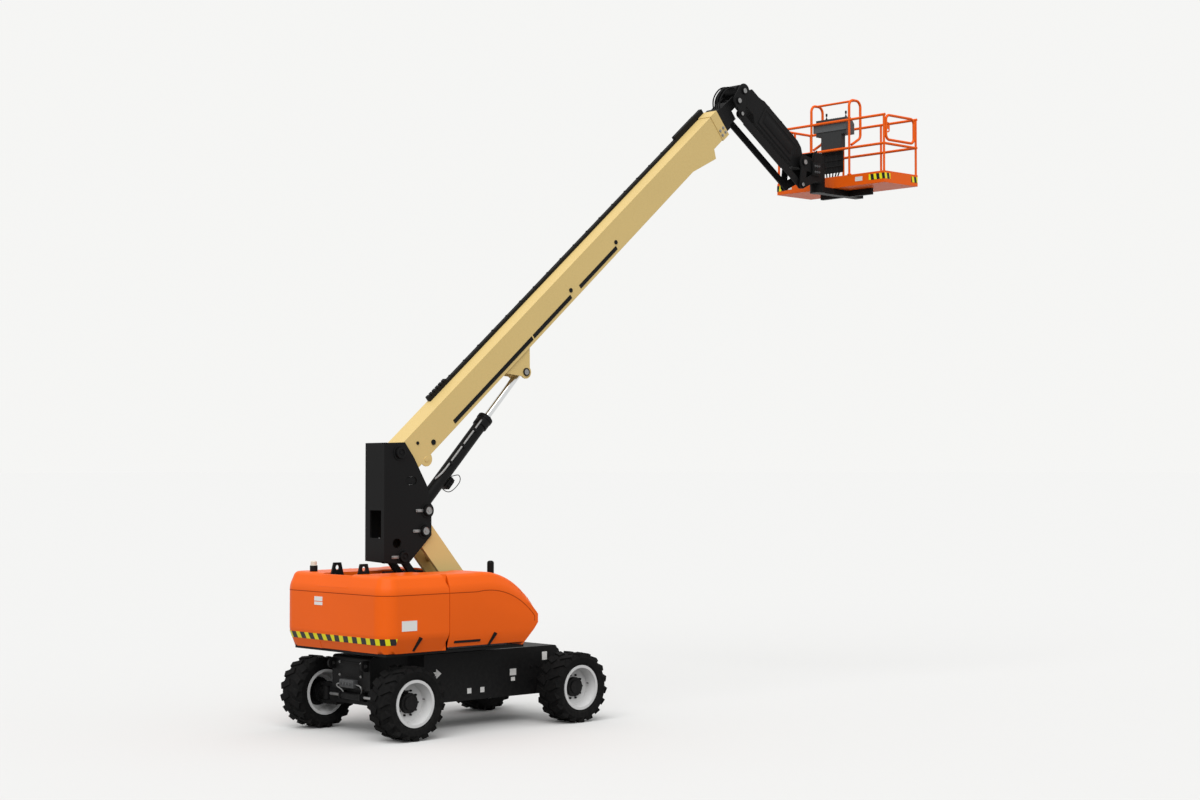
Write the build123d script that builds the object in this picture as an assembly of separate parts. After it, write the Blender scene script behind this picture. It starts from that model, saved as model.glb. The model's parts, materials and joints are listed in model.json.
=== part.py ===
"""Telescopic boom lift: four wheels, turntable, tower linkage, three-part boom, jib and platform.

Millimetres. Each function works from the swing axis: X forward to the platform, Y left, Z up from the
floor. Every piece is moved by FRAME_SHIFT_X when it is written, so that the origin lies on the floor
under the middle of the machine's whole length.
"""
from build123d import *

import os
from math import atan2, cos, degrees, hypot, radians, sin, sqrt

# Wheels and axles
TYRE_RADIUS = 510.0
TYRE_WIDTH = 440.0
TYRE_BEAD_IN = 50.0
SIDEWALL_RISE = 60.0
SIDEWALL_IN = 6.0
WIDEST_DROP = 75.0
SHOULDER_DROP = 12.0
SHOULDER_IN = 22.0
TREAD_IN = 60.0
LUG_HEIGHT = 26.0
LUG_COUNT = 18
LUG_WIDTH = 92.0
LUG_LEAN = 24.0
LUG_ROOT = 78.0
LUG_LENGTH = 190.0
LUG_SHIFT = 8.0
BEAD_RADIUS = 300.0
RIM_WALL = 15.0
RIM_LIP_IN = 15.0
WELL_RADIUS = 262.0
WELL_Y = (165.0, 125.0)
FLANGE_RADIUS = 325.0
FLANGE_THICK = 15.0
DISC_THICK = 15.0
HUB_RADIUS = 140.0
HUB_FACE = 75.0
HUB_DEPTH = 205.0
HUB_FLANGE_RADIUS = 200.0
HUB_CAP_RADIUS = 95.0
HUB_CAP = 20.0
NUT_COUNT = 10
NUT_CIRCLE = 172.0
NUT_RADIUS = 14.0
NUT_LENGTH = 25.0
SPINDLE_RADIUS = 60.0
SPINDLE_REACH = 25.0
SPINDLE_END_GAP = 5.0
TRACK_HALF = 1030.0
AXLE_X = 1525.0
AXLE_DEPTH = 200.0
AXLE_BREADTH = 180.0
AXLE_END_IN = 60.0
FIT = 0.3
SEAT_GAP = 0.3

# Steering
KINGPIN_IN = 230.0
KINGPIN_RADIUS = 35.0
KNUCKLE_RADIUS = 70.0
YOKE_ROOT_IN = 180.0
YOKE_TIP_OUT = 65.0
YOKE_THICK = 50.0
YOKE_LAP = 120.0
YOKE_GAP = 6.0
STEER_ARM = 200.0
STEER_ARM_WIDTH = 60.0
STEER_ARM_THICK = 30.0
STEER_ARM_RISE = 20.0
STEER_ROD_RADIUS = 22.0
STEER_BARREL_RADIUS = 50.0
STEER_BARREL_HALF = 300.0
STEER_ROD_DROP = 10.0
STEER_STUD_RADIUS = 26.0
STEER_BRACKET_HALF = 150.0
STEER_BRACKET_RISE = 30.0

# Chassis
FRAME_TOP = 1090.0
SADDLE_RISE = 20.0
FRAME_BELLY = 400.0
FRAME_HALF = 620.0
FRAME_END_HALF = 440.0
FRAME_FRONT_REACH = 75.0
FRAME_REAR_REACH = 175.0
FRAME_WAIST_X = (-1050.0, -900.0)
BELLY_X = (-850.0, 1250.0)
FRAME_WALL = 20.0
FRAME_HATCH = 300.0
FRAME_ROUND = 50.0
SADDLE_HALF = 380.0
LUG_PLATE = 40.0
LUG_ROOT_IN = 20.0
LUG_REACH = 120.0
LUG_DEPTH = 150.0
LUG_HOLE_RADIUS = 30.0
FRONT_LUG_Y = 520.0
REAR_LUG_Y = 380.0
CHASSIS_LUG_DROP = 120.0

# Swing bearing and turntable
RING_OUTER = 560.0
RING_INNER = 430.0
RING_LOWER = 30.0
RING_UPPER = 30.0
RING_GAP = 0.5
DECK_THICK = 40.0
DECK_HALF = 1060.0
DECK_REAR_X = -1900.0
DECK_FRONT_X = 560.0
CHEEK_INNER = 290.0
CHEEK_THICK = 40.0
CHEEK_PIN_MARGIN = 130.0
CHEEK_TAIL_IN = 60.0
CHEEK_FOOT = 120.0
CHEEK_CHAMFER = 60.0
CHEEK_SLOPE = 200.0
LIFT_LUG_X = -1720.0
LIFT_LUG_RISE = 140.0
LIFT_LUG_HALF = 100.0
LIFT_LUG_NECK = 160.0
LIFT_LUG_CHAMFER = 40.0
LIFT_LUG_HOLE = 36.0
LIFT_LUG_HOLE_DROP = 70.0

# Covers
COVER_HALF = 1190.0
COVER_SKIRT = 220.0
COVER_SIDE = 635.0
COVER_CROWN = 195.0
COVER_TUCK = 80.0
TAIL_X = -2030.0
TAIL_CORNER = 250.0
TAIL_WALL = 45.0
CHANNEL_HALF = 345.0
POCKET_X = (-1780.0, -980.0)
POCKET_INNER = 430.0
POCKET_SIDE_WALL = 100.0
POCKET_ROOF = 240.0
SEAM_X = -900.0
SEAM_GAP = 10.0
HOOD_INNER = 500.0
HOOD_NOSE_X = 750.0
HOOD_NOSE_RISE = 310.0
HOOD_NOSE_FLAT = 120.0
HOOD_BROW_X = -400.0
HOOD_CHIN_X = 500.0
HOOD_BULGE = (0.66, 0.72)
HOOD_CREASE_IN = 25.0
HOOD_WALL = 25.0
HINGE_Y = 490.0
HINGE_DROP = 40.0
HINGE_POST = 40.0
HINGE_PIN = 12.0
HINGE_RAIL_Y = (410.0, 485.0)
HINGE_POST_X = (-800.0, -150.0)
ENGINE_X = (-800.0, 260.0)
ENGINE_SIDE_ROOM = 170.0
ENGINE_HEIGHT = 670.0
TANK_X = (-800.0, 260.0)
TANK_SIDE_ROOM = 150.0
TANK_HEIGHT = 630.0
BAY_INNER_ROOM = 20.0
EXHAUST_X = 490.0
EXHAUST_Y = -410.0
EXHAUST_RADIUS = 50.0
EXHAUST_RISE = 120.0
EXHAUST_ROUND = 35.0
BEACON_X = -1800.0
BEACON_Y = 760.0
BEACON_RADIUS = 55.0
BEACON_HEIGHT = 150.0
BEACON_BASE = 85.0
BEACON_DOME_RADIUS = 44.0
BEACON_ROUND = 20.0

# Tower linkage and upright
UPRIGHT_INNER = 195.0
UPRIGHT_PLATE = 25.0
PIN_C = (-577.0, 2810.0)
PIN_D = (-957.0, 2450.0)
LINK_LENGTH = 1050.0
LINK_ANGLE = 131.0
LINK_DEPTH = 340.0
LINK_INNER = 130.0
LINK_THICK = 55.0
LINK_TUBE_RADIUS = 60.0
TIMING_DEPTH = 100.0
PIN_RADIUS = 45.0
PIN_HEAD_RADIUS = 75.0
PIN_HEAD = 25.0
HEAD_GAP = 5.0
UPRIGHT_OUTLINE = (
    (-1300.0, 4060.0), (-935.0, 4070.0), (-770.0, 3854.0), (-535.0, 3456.0), (-453.0, 3178.0),
    (-453.0, 2745.0), (-884.0, 2335.0), (-1300.0, 2390.0),
)
UPRIGHT_WEB_X = -1300.0
UPRIGHT_WEB = 30.0
UPRIGHT_WEB_Z = (2390.0, 4060.0)
WEB_SLOT_Y = (-150.0, 110.0)
WEB_SLOT_Z = (2720.0, 3110.0)
UPRIGHT_SLOTS = (
    # one end, other end, radius
    ((-870.0, 3525.0), (-775.0, 3525.0), 54.0),
    ((-1080.0, 2645.0), (-1060.0, 2645.0), 65.0),
)

# Boom, in its own frame: S along it from the pivot, N square to it and up
PIVOT = (-1030.0, 3920.0)
BOOM_ANGLE = 40.4
BOOM_TOP_N = 50.0
BOOM_DEPTH = 450.0
BOOM_WIDTH = 360.0
BOOM_WALL = 12.0
BOOM_TAIL_S = -220.0
BOOM_NOSE_S = 8610.0
TAIL_LOBE_S = 335.0
TAIL_LOBE_RADIUS = 105.0
TAIL_LOBE_PIN = 38.0
TAIL_LOBE_PIN_END = 8.0
SECTION_STEP = 60.0
MID_WALL = 10.0
MID_TAIL_S = 300.0
MID_NOSE_REACH = 140.0
FLY_WALL = 8.0
FLY_TAIL_S = 500.0
FLY_NOSE_REACH = 230.0
PAD_LENGTH = 200.0
PIVOT_BOSS = 100.0
NOSE_PLATE = (
    # distance back from the nose, depth below the boom
    (1090.0, 0.0), (510.0, 145.0), (440.0, 0.0),
)
NOSE_COLLAR = 180.0
NOSE_COLLAR_THICK = 12.0
TRACK_START_S = 1100.0
TRACK_END_BACK = 210.0
TRACK_Y = (90.0, 160.0)
TRACK_HEIGHT = 45.0
TRACK_HEAD = 620.0
TRACK_HEAD_HEIGHT = 95.0
TRACK_LINKS = 6
TRACK_LINK_PITCH = 75.0
TRACK_LINK = 55.0
TRACK_LINK_HEIGHT = 80.0

# Lift cylinder
LIFT_BASE = (-527.0, 3100.0)
LIFT_EYE_S = 2634.0
LIFT_EYE_N = -640.0
LIFT_EAR_INNER = 135.0
LIFT_EAR_THICK = 25.0
LIFT_EAR_BACK = 330.0
LIFT_EAR_FRONT = 300.0
LIFT_EAR_MARGIN = 100.0
LIFT_BARREL_RADIUS = 95.0
LIFT_BARREL_BORE = 75.0
LIFT_BARREL_LENGTH = 1830.0
LIFT_HEAD_RADIUS = 112.0
LIFT_HEAD_LENGTH = 160.0
LIFT_BORE_START = 400.0
LIFT_ROD_RADIUS = 52.0
LIFT_ROD_START = 1240.0
LIFT_PISTON = 60.0
LIFT_ROD_EYE = 60.0
LIFT_EYE_HALF = 80.0
LIFT_FOOT = 100.0
LIFT_FOOT_LAP = 20.0

# Jib
LEVEL_PIN_REACH = 165.0
LEVEL_PIN_N = -101.0
HEAD_RADIUS = 85.0
JIB_PIN_FROM_LEVEL = (130.0, 180.0)
JIB_LINK_OFFSET = (-60.0, -390.0)
JIB_ANGLE = -34.5
JIB_LENGTH = 1830.0
JIB_HALF = 130.0
JIB_DEPTH = 220.0
JIB_WALL = 8.0
JIB_COVER_S = (560.0, 1690.0)
JIB_COVER_N = (-205.0, 225.0)
JIB_COVER_SLOPE = 100.0
JIB_BROW_S = (540.0, 1560.0)
JIB_BROW_N = 262.0
JIB_NECK_S = 200.0
JIB_BAR_INNER = 150.0
JIB_BAR_THICK = 30.0
JIB_BAR_DEPTH = 120.0
JIB_BAR_END = 66.0
JIB_CHEEK_INNER = 200.0
JIB_CHEEK_THICK = 25.0
JIB_PIN_RADIUS = 40.0
JIB_STUB_RADIUS = 25.0
JIB_CHEEK_MARGIN = 120.0
JIB_STRUT_MARGIN = 70.0

# Rotator and platform
ROTATOR_REACH = 582.0
ROTATOR_RADIUS = 130.0
ROTATOR_DROP = 314.0
ROTATOR_HEIGHT = 500.0
ROTATOR_BLOCK = 370.0
ROTATOR_SEAT = 60.0
ROTATOR_FOOT = 80.0
ROTATOR_SHAFT = 50.0
ROTATOR_WEB = 25.0
ROTATOR_ARM_HALF = 90.0
ROTATOR_ARM_DEPTH = 110.0
ROTATOR_ARM_SHORT = 100.0
ROTATOR_CAP = 30.0
ROTATOR_CAP_RADIUS = 90.0
CROSS_BEAM_IN = 460.0
CROSS_BEAM_HALF = 570.0
CROSS_BEAM_WIDTH = 80.0
PLATFORM_GAP = 320.0
PLATFORM_DEPTH = 910.0
PLATFORM_HALF = 1220.0
FLOOR_DROP = 40.0
FLOOR_THICK = 40.0
TOE_HEIGHT = 200.0
TOE_WALL = 20.0
RAIL_RADIUS = 23.0
POST_RADIUS = 20.0
RAIL_HEIGHT = 1160.0
RAIL_MID_HEIGHT = 670.0
GUARD_HALF = 430.0
GUARD_RISE = 350.0
GUARD_REACH = 300.0
GUARD_BEND = 110.0
GUARD_KNEE = 200.0
GUARD_TOE = 60.0
GUARD_BAR_RADIUS = 20.0
CONSOLE_HALF = 345.0
CONSOLE_RISE = 70.0
CONSOLE_HEIGHT = 290.0
CONSOLE_DEPTH = 220.0
CONSOLE_SLOPE = (90.0, 110.0)
CONSOLE_LOW_HALF = 230.0
CONSOLE_STEM = 240.0
GATE_GAP = 8.0
GATE_BEND = 90.0
GATE_SILL_GAP = 45.0
GATE_TAB_THICK = 16.0
GATE_TAB_HEIGHT = 30.0


def along(angle, s, n=0.0):
    """A point at S, N of a frame tilted by angle, as an (x, z) offset."""
    c, k = cos(radians(angle)), sin(radians(angle))
    return c * s - k * n, k * s + c * n


def offset(point, step):
    return point[0] + step[0], point[1] + step[1]


# Places that follow from the sizes above
KINGPIN_Y = TRACK_HALF - KINGPIN_IN
AXLE_END_Y = KINGPIN_Y - AXLE_END_IN
YOKE_ROOT_Y = KINGPIN_Y - YOKE_ROOT_IN
YOKE_TIP_Y = KINGPIN_Y + YOKE_TIP_OUT
FRAME_SHELF = TYRE_RADIUS + AXLE_DEPTH / 2 + SADDLE_RISE
FRAME_FRONT_X = AXLE_X + FRAME_FRONT_REACH
FRAME_REAR_X = -AXLE_X - FRAME_REAR_REACH
CHASSIS_LUG_Z = FRAME_TOP - CHASSIS_LUG_DROP
RING_SPLIT = FRAME_TOP + RING_LOWER
DECK_BOTTOM = RING_SPLIT + RING_UPPER
DECK_TOP = DECK_BOTTOM + DECK_THICK
COVER_CREASE_LOW = DECK_TOP + COVER_SKIRT
COVER_CREASE_HIGH = COVER_CREASE_LOW + COVER_SIDE
COVER_TOP = COVER_CREASE_HIGH + COVER_CROWN
LIFT_LUG_TOP = COVER_TOP + LIFT_LUG_RISE
POCKET_Y = (POCKET_INNER, COVER_HALF - POCKET_SIDE_WALL)
ENGINE_Y = (ENGINE_SIDE_ROOM - COVER_HALF, -HOOD_INNER - BAY_INNER_ROOM)
TANK_Y = (HOOD_INNER + BAY_INNER_ROOM, COVER_HALF - TANK_SIDE_ROOM)
HINGE_Z = COVER_TOP - HINGE_DROP
HOOD_NOSE_LOW = DECK_TOP + HOOD_NOSE_RISE
HOOD_NOSE_HIGH = HOOD_NOSE_LOW + HOOD_NOSE_FLAT
LINK_STEP = along(LINK_ANGLE, LINK_LENGTH)
PIN_A = (PIN_C[0] - LINK_STEP[0], PIN_C[1] - LINK_STEP[1])
PIN_B = (PIN_D[0] - LINK_STEP[0], PIN_D[1] - LINK_STEP[1])
BOOM_MID_N = BOOM_TOP_N - BOOM_DEPTH / 2
LIFT_EYE = offset(PIVOT, along(BOOM_ANGLE, LIFT_EYE_S, LIFT_EYE_N))
LIFT_LENGTH = hypot(LIFT_EYE[0] - LIFT_BASE[0], LIFT_EYE[1] - LIFT_BASE[1])
LIFT_ANGLE = degrees(atan2(LIFT_EYE[1] - LIFT_BASE[1], LIFT_EYE[0] - LIFT_BASE[0]))
MID_NOSE_S = BOOM_NOSE_S + MID_NOSE_REACH
FLY_NOSE_S = MID_NOSE_S + FLY_NOSE_REACH
LEVEL_PIN_S = FLY_NOSE_S + LEVEL_PIN_REACH
TRACK_S = (TRACK_START_S, BOOM_NOSE_S - TRACK_END_BACK)
LEVEL_PIN = offset(PIVOT, along(BOOM_ANGLE, LEVEL_PIN_S, LEVEL_PIN_N))
JIB_PIN = offset(LEVEL_PIN, JIB_PIN_FROM_LEVEL)
JIB_LINK_PIN = offset(JIB_PIN, JIB_LINK_OFFSET)
JIB_TIP = offset(JIB_PIN, along(JIB_ANGLE, JIB_LENGTH))
JIB_LINK_TIP = offset(JIB_TIP, JIB_LINK_OFFSET)
ROTATOR_X = JIB_TIP[0] + ROTATOR_REACH
ROTATOR_Z = (JIB_TIP[1] - ROTATOR_DROP, JIB_TIP[1] - ROTATOR_DROP + ROTATOR_HEIGHT)
ROTATOR_BLOCK_X = ROTATOR_X - ROTATOR_BLOCK
PLATFORM_X = (ROTATOR_X + PLATFORM_GAP, ROTATOR_X + PLATFORM_GAP + PLATFORM_DEPTH)
FLOOR_BOTTOM = ROTATOR_Z[0] - FLOOR_DROP
TOE_TOP = FLOOR_BOTTOM + TOE_HEIGHT
RAIL_TOP = FLOOR_BOTTOM + RAIL_HEIGHT
RAIL_MID = FLOOR_BOTTOM + RAIL_MID_HEIGHT
GUARD_TOP = RAIL_TOP + GUARD_RISE
CONSOLE_Z = (RAIL_TOP + CONSOLE_RISE - CONSOLE_HEIGHT, RAIL_TOP + CONSOLE_RISE)
CROSS_BEAM_X = PLATFORM_X[0] + CROSS_BEAM_IN
STEER_ROD_X = -AXLE_X + STEER_ARM
STEER_ROD_Z = TYRE_RADIUS - STEER_ROD_DROP
STEER_ARM_Z = TYRE_RADIUS + STEER_ARM_RISE
BOOM_LOW_N = BOOM_TOP_N - BOOM_DEPTH
RAIL_X = (PLATFORM_X[0] + RAIL_RADIUS, PLATFORM_X[1] - RAIL_RADIUS)
RAIL_Y = PLATFORM_HALF - RAIL_RADIUS
GATE_HINGE_X = RAIL_X[1] - 2 * RAIL_RADIUS - GATE_GAP
GATE_Z = (RAIL_MID + GATE_SILL_GAP + RAIL_RADIUS, RAIL_TOP)
FRAME_SHIFT_X = -(TAIL_X + PLATFORM_X[1]) / 2


def box(x, y, z):
    """A block from its low and high X, Y and Z."""
    size = (x[1] - x[0], y[1] - y[0], z[1] - z[0])
    return Pos(sum(x) / 2, sum(y) / 2, sum(z) / 2) * Box(*size)


def rod_x(y, z, radius, x):
    return Pos(sum(x) / 2, y, z) * Rot(0, 90, 0) * Cylinder(radius, x[1] - x[0])


def rod_y(point, radius, y):
    return Pos(point[0], sum(y) / 2, point[1]) * Rot(90, 0, 0) * Cylinder(radius, y[1] - y[0])


def rod_z(x, y, radius, z):
    return Pos(x, y, sum(z) / 2) * Cylinder(radius, z[1] - z[0])


def plate_xz(points, y):
    """A flat plate from an outline in X and Z, between two Y."""
    face = Plane.XZ * make_face(Polyline(*points, close=True))
    return Pos(0, y[1], 0) * extrude(face, y[1] - y[0], dir=(0, -1, 0))


def both_sides(shape):
    return shape + mirror(shape, about=Plane.XZ)


def strap(pins, radius, y):
    """A plate with a round end on each of two pins."""
    (x0, z0), (x1, z1) = pins
    angle = degrees(atan2(z1 - z0, x1 - x0))
    bar = Box(hypot(x1 - x0, z1 - z0), y[1] - y[0], 2 * radius)
    shape = Pos((x0 + x1) / 2, sum(y) / 2, (z0 + z1) / 2) * Rot(0, -angle, 0) * bar
    for pin in pins:
        shape += rod_y(pin, radius, y)
    return shape


def in_boom(shape):
    return Pos(PIVOT[0], 0, PIVOT[1]) * Rot(0, -BOOM_ANGLE, 0) * shape


def in_jib(shape):
    return Pos(JIB_PIN[0], 0, JIB_PIN[1]) * Rot(0, -JIB_ANGLE, 0) * shape


def in_lift(shape):
    return Pos(LIFT_BASE[0], 0, LIFT_BASE[1]) * Rot(0, -LIFT_ANGLE, 0) * shape


def wheel_place(x, side):
    turn = 0 if side > 0 else 180
    return Pos(x, side * TRACK_HALF, TYRE_RADIUS) * Rot(0, 0, turn)


def turned(points):
    """A ring about Y from an outline of radius and Y."""
    return revolve(make_face(Polyline(*points, close=True)), axis=Axis.Y)


def tyre():
    half = TYRE_WIDTH / 2
    tread = TYRE_RADIUS - LUG_HEIGHT
    upper = [
        (BEAD_RADIUS + SEAT_GAP, half - TYRE_BEAD_IN), (BEAD_RADIUS + SIDEWALL_RISE, half - SIDEWALL_IN),
        (TYRE_RADIUS - WIDEST_DROP, half), (tread - SHOULDER_DROP, half - SHOULDER_IN),
        (tread, half - TREAD_IN),
    ]
    shape = turned(upper + [(r, -y) for r, y in reversed(upper)])
    lean = radians(LUG_LEAN)
    corner = LUG_WIDTH / 2 * cos(lean) + LUG_LENGTH / 2 * sin(lean)
    tip = sqrt(TYRE_RADIUS ** 2 - corner ** 2)
    root = TYRE_RADIUS - LUG_ROOT
    lug = Box(LUG_WIDTH, LUG_LENGTH, tip - root)
    lugs = []
    for k in range(LUG_COUNT):
        for hand in (1, -1):
            turn = 360.0 / LUG_COUNT * (k + hand / 4)
            seat = Pos(0, hand * (half / 2 + LUG_SHIFT), (tip + root) / 2) * Rot(0, 0, hand * LUG_LEAN)
            lugs.append(Rot(0, turn, 0) * seat * lug)
    return shape.fuse(*lugs)


def rim():
    lip = TYRE_WIDTH / 2 - RIM_LIP_IN
    outer = [(FLANGE_RADIUS, lip), (FLANGE_RADIUS, lip - FLANGE_THICK), (BEAD_RADIUS, lip - FLANGE_THICK)]
    well = BEAD_RADIUS - RIM_WALL
    inner = [(WELL_RADIUS, WELL_Y[1]), (well, WELL_Y[0]), (well, lip)]
    upper = inner + outer
    barrel = turned(upper + [(r, -y) for r, y in reversed(upper)])
    disc = turned([
        (HUB_RADIUS + FIT, 0), (BEAD_RADIUS - RIM_WALL, 0),
        (BEAD_RADIUS - RIM_WALL, DISC_THICK), (HUB_RADIUS + FIT, DISC_THICK),
    ])
    nuts = []
    for k in range(NUT_COUNT):
        turn = 360.0 / NUT_COUNT * k
        nut = rod_y((NUT_CIRCLE, 0), NUT_RADIUS, (DISC_THICK / 2, DISC_THICK + NUT_LENGTH))
        nuts.append(Rot(0, turn, 0) * nut)
    return barrel.fuse(disc, *nuts)


def hub():
    back = HUB_FACE - HUB_DEPTH
    shape = rod_y((0, 0), HUB_RADIUS, (back, HUB_FACE))
    shape += rod_y((0, 0), HUB_FLANGE_RADIUS, (-DISC_THICK, 0))
    shape += rod_y((0, 0), HUB_CAP_RADIUS, (HUB_FACE, HUB_FACE + HUB_CAP))
    return shape - rod_y((0, 0), SPINDLE_RADIUS + FIT, (back, SPINDLE_REACH + SPINDLE_END_GAP))


def spindle(side, inner_y, flange_radius):
    """The stub that carries one wheel, with the flange behind its hub."""
    tip = TRACK_HALF + SPINDLE_REACH
    hub_back = TRACK_HALF + HUB_FACE - HUB_DEPTH
    shape = rod_y((0, TYRE_RADIUS), SPINDLE_RADIUS, (inner_y, tip))
    shape += rod_y((0, TYRE_RADIUS), flange_radius, (inner_y, hub_back - SEAT_GAP))
    return shape if side > 0 else mirror(shape, about=Plane.XZ)


def drive_axle():
    z = (TYRE_RADIUS - AXLE_DEPTH / 2, TYRE_RADIUS + AXLE_DEPTH / 2)
    shape = box((-AXLE_BREADTH / 2, AXLE_BREADTH / 2), (-AXLE_END_Y, AXLE_END_Y), z)
    for side in (1, -1):
        shape += spindle(side, AXLE_END_Y, HUB_RADIUS)
    return Pos(AXLE_X, 0, 0) * shape


def steer_axle():
    half = AXLE_DEPTH / 2
    shape = box((-AXLE_BREADTH / 2, AXLE_BREADTH / 2), (-YOKE_ROOT_Y, YOKE_ROOT_Y),
                (TYRE_RADIUS - half, TYRE_RADIUS + half))
    for side in (1, -1):
        y = sorted((side * (YOKE_ROOT_Y - YOKE_LAP), side * YOKE_TIP_Y))
        for low in (TYRE_RADIUS + half, TYRE_RADIUS - half - YOKE_THICK):
            shape += box((-KNUCKLE_RADIUS, KNUCKLE_RADIUS), y, (low, low + YOKE_THICK))
        shape += rod_z(0, side * KINGPIN_Y, KINGPIN_RADIUS, (TYRE_RADIUS - half, TYRE_RADIUS + half))
    shape = Pos(-AXLE_X, 0, 0) * shape
    bracket_x = (-AXLE_X + AXLE_BREADTH / 2, STEER_ROD_X)
    shape += box(bracket_x, (-STEER_BRACKET_HALF, STEER_BRACKET_HALF),
                 (STEER_ROD_Z - STEER_BRACKET_RISE, STEER_ROD_Z + STEER_BRACKET_RISE))
    barrel = (-STEER_BARREL_HALF, STEER_BARREL_HALF)
    shape += rod_y((STEER_ROD_X, STEER_ROD_Z), STEER_BARREL_RADIUS, barrel)
    return shape - rod_y((STEER_ROD_X, STEER_ROD_Z), STEER_ROD_RADIUS + FIT, barrel)


def knuckle(side):
    half = AXLE_DEPTH / 2 - YOKE_GAP
    z = (TYRE_RADIUS - half, TYRE_RADIUS + half)
    shape = rod_z(0, side * KINGPIN_Y, KNUCKLE_RADIUS, z)
    shape += spindle(side, YOKE_TIP_Y + YOKE_GAP, half)
    shape += spindle(side, KINGPIN_Y, SPINDLE_RADIUS)
    arm_z = (STEER_ARM_Z, STEER_ARM_Z + STEER_ARM_THICK)
    arm_y = (side * KINGPIN_Y - STEER_ARM_WIDTH / 2, side * KINGPIN_Y + STEER_ARM_WIDTH / 2)
    shape += box((0, STEER_ARM), arm_y, arm_z)
    shape += rod_z(STEER_ARM, side * KINGPIN_Y, STEER_ARM_WIDTH / 2, arm_z)
    shape -= rod_z(0, side * KINGPIN_Y, KINGPIN_RADIUS + FIT, z)
    return Pos(-AXLE_X, 0, 0) * shape


def steer_rod():
    shape = rod_y((STEER_ROD_X, STEER_ROD_Z), STEER_ROD_RADIUS, (-KINGPIN_Y, KINGPIN_Y))
    for side in (1, -1):
        z = (STEER_ROD_Z - STEER_BRACKET_RISE, STEER_ARM_Z - SEAT_GAP)
        shape += rod_z(STEER_ROD_X, side * KINGPIN_Y, STEER_STUD_RADIUS, z)
    return shape


def chassis_lug(x, y, toward):
    """A tie-down plate with a round end and a hole, on one end of the frame."""
    tip = x + toward * (LUG_REACH - LUG_DEPTH / 2)
    ys = (y - LUG_PLATE / 2, y + LUG_PLATE / 2)
    zs = (CHASSIS_LUG_Z - LUG_DEPTH / 2, CHASSIS_LUG_Z + LUG_DEPTH / 2)
    shape = box(sorted((x - toward * LUG_ROOT_IN, tip)), ys, zs)
    return shape + rod_y((tip, CHASSIS_LUG_Z), LUG_DEPTH / 2, ys)


CHASSIS_LUGS = [
    # x of the frame's end, y, direction along X
    (FRAME_FRONT_X, FRONT_LUG_Y, 1),
    (FRAME_FRONT_X, -FRONT_LUG_Y, 1),
    (FRAME_REAR_X, REAR_LUG_Y, -1),
    (FRAME_REAR_X, -REAR_LUG_Y, -1),
]


def frame_cavity():
    """The hollow of the welded frame, open through the hatch inside the swing ring."""
    wall = FRAME_WALL
    wide = (-FRAME_HALF + wall, FRAME_HALF - wall)
    narrow = (-FRAME_END_HALF + wall, FRAME_END_HALF - wall)
    z = (FRAME_SHELF + wall, FRAME_TOP - wall)
    shape = box((FRAME_WAIST_X[1] + wall, FRAME_FRONT_X - wall), wide, z)
    shape += box((FRAME_REAR_X + wall, FRAME_WAIST_X[1] + wall), narrow, z)
    shape += box((BELLY_X[0] + wall, BELLY_X[1] - wall), wide, (FRAME_BELLY + wall, FRAME_SHELF + wall))
    return shape + rod_z(0, 0, FRAME_HATCH, (FRAME_SHELF + wall, FRAME_TOP))


def chassis_frame():
    half = [
        (FRAME_REAR_X, FRAME_END_HALF), (FRAME_WAIST_X[0], FRAME_END_HALF),
        (FRAME_WAIST_X[1], FRAME_HALF), (FRAME_FRONT_X, FRAME_HALF),
    ]
    plan = half + [(x, -y) for x, y in reversed(half)]
    top = extrude(make_face(Polyline(*plan, close=True)), FRAME_TOP - FRAME_SHELF)
    ends = top.edges().filter_by(Axis.Y).group_by(Axis.Z)[-1]
    shape = Pos(0, 0, FRAME_SHELF) * fillet(ends, FRAME_ROUND)
    shape += box(BELLY_X, (-FRAME_HALF, FRAME_HALF), (FRAME_BELLY, FRAME_SHELF))
    for x in (AXLE_X, -AXLE_X):
        shape += box((x - AXLE_BREADTH / 2, x + AXLE_BREADTH / 2), (-SADDLE_HALF, SADDLE_HALF),
                     (TYRE_RADIUS + AXLE_DEPTH / 2, FRAME_SHELF))
    shape -= frame_cavity()
    for x, y, toward in CHASSIS_LUGS:
        shape += chassis_lug(x, y, toward)
    for x, y, toward in CHASSIS_LUGS:
        hole_x = x + toward * (LUG_REACH - LUG_DEPTH / 2)
        shape -= rod_y((hole_x, CHASSIS_LUG_Z), LUG_HOLE_RADIUS, (y - LUG_PLATE, y + LUG_PLATE))
    return shape


def swing_ring():
    z = (FRAME_TOP, RING_SPLIT)
    return rod_z(0, 0, RING_OUTER, z) - rod_z(0, 0, RING_INNER, z)


def turntable_deck():
    shape = box((DECK_REAR_X, DECK_FRONT_X), (-DECK_HALF, DECK_HALF), (DECK_BOTTOM, DECK_TOP))
    z = (RING_SPLIT + RING_GAP, DECK_BOTTOM)
    shape += rod_z(0, 0, RING_OUTER, z) - rod_z(0, 0, RING_INNER, z)
    rail_x = (HINGE_POST_X[0], HINGE_POST_X[1] + HINGE_POST)
    rail = box(rail_x, HINGE_RAIL_Y, (HINGE_Z - HINGE_POST, HINGE_Z))
    for x in HINGE_POST_X:
        rail += box((x, x + HINGE_POST), HINGE_RAIL_Y, (DECK_TOP, HINGE_Z))
    rail += rod_x(HINGE_Y, HINGE_Z, HINGE_PIN, rail_x)
    return shape + both_sides(rail)


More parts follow.
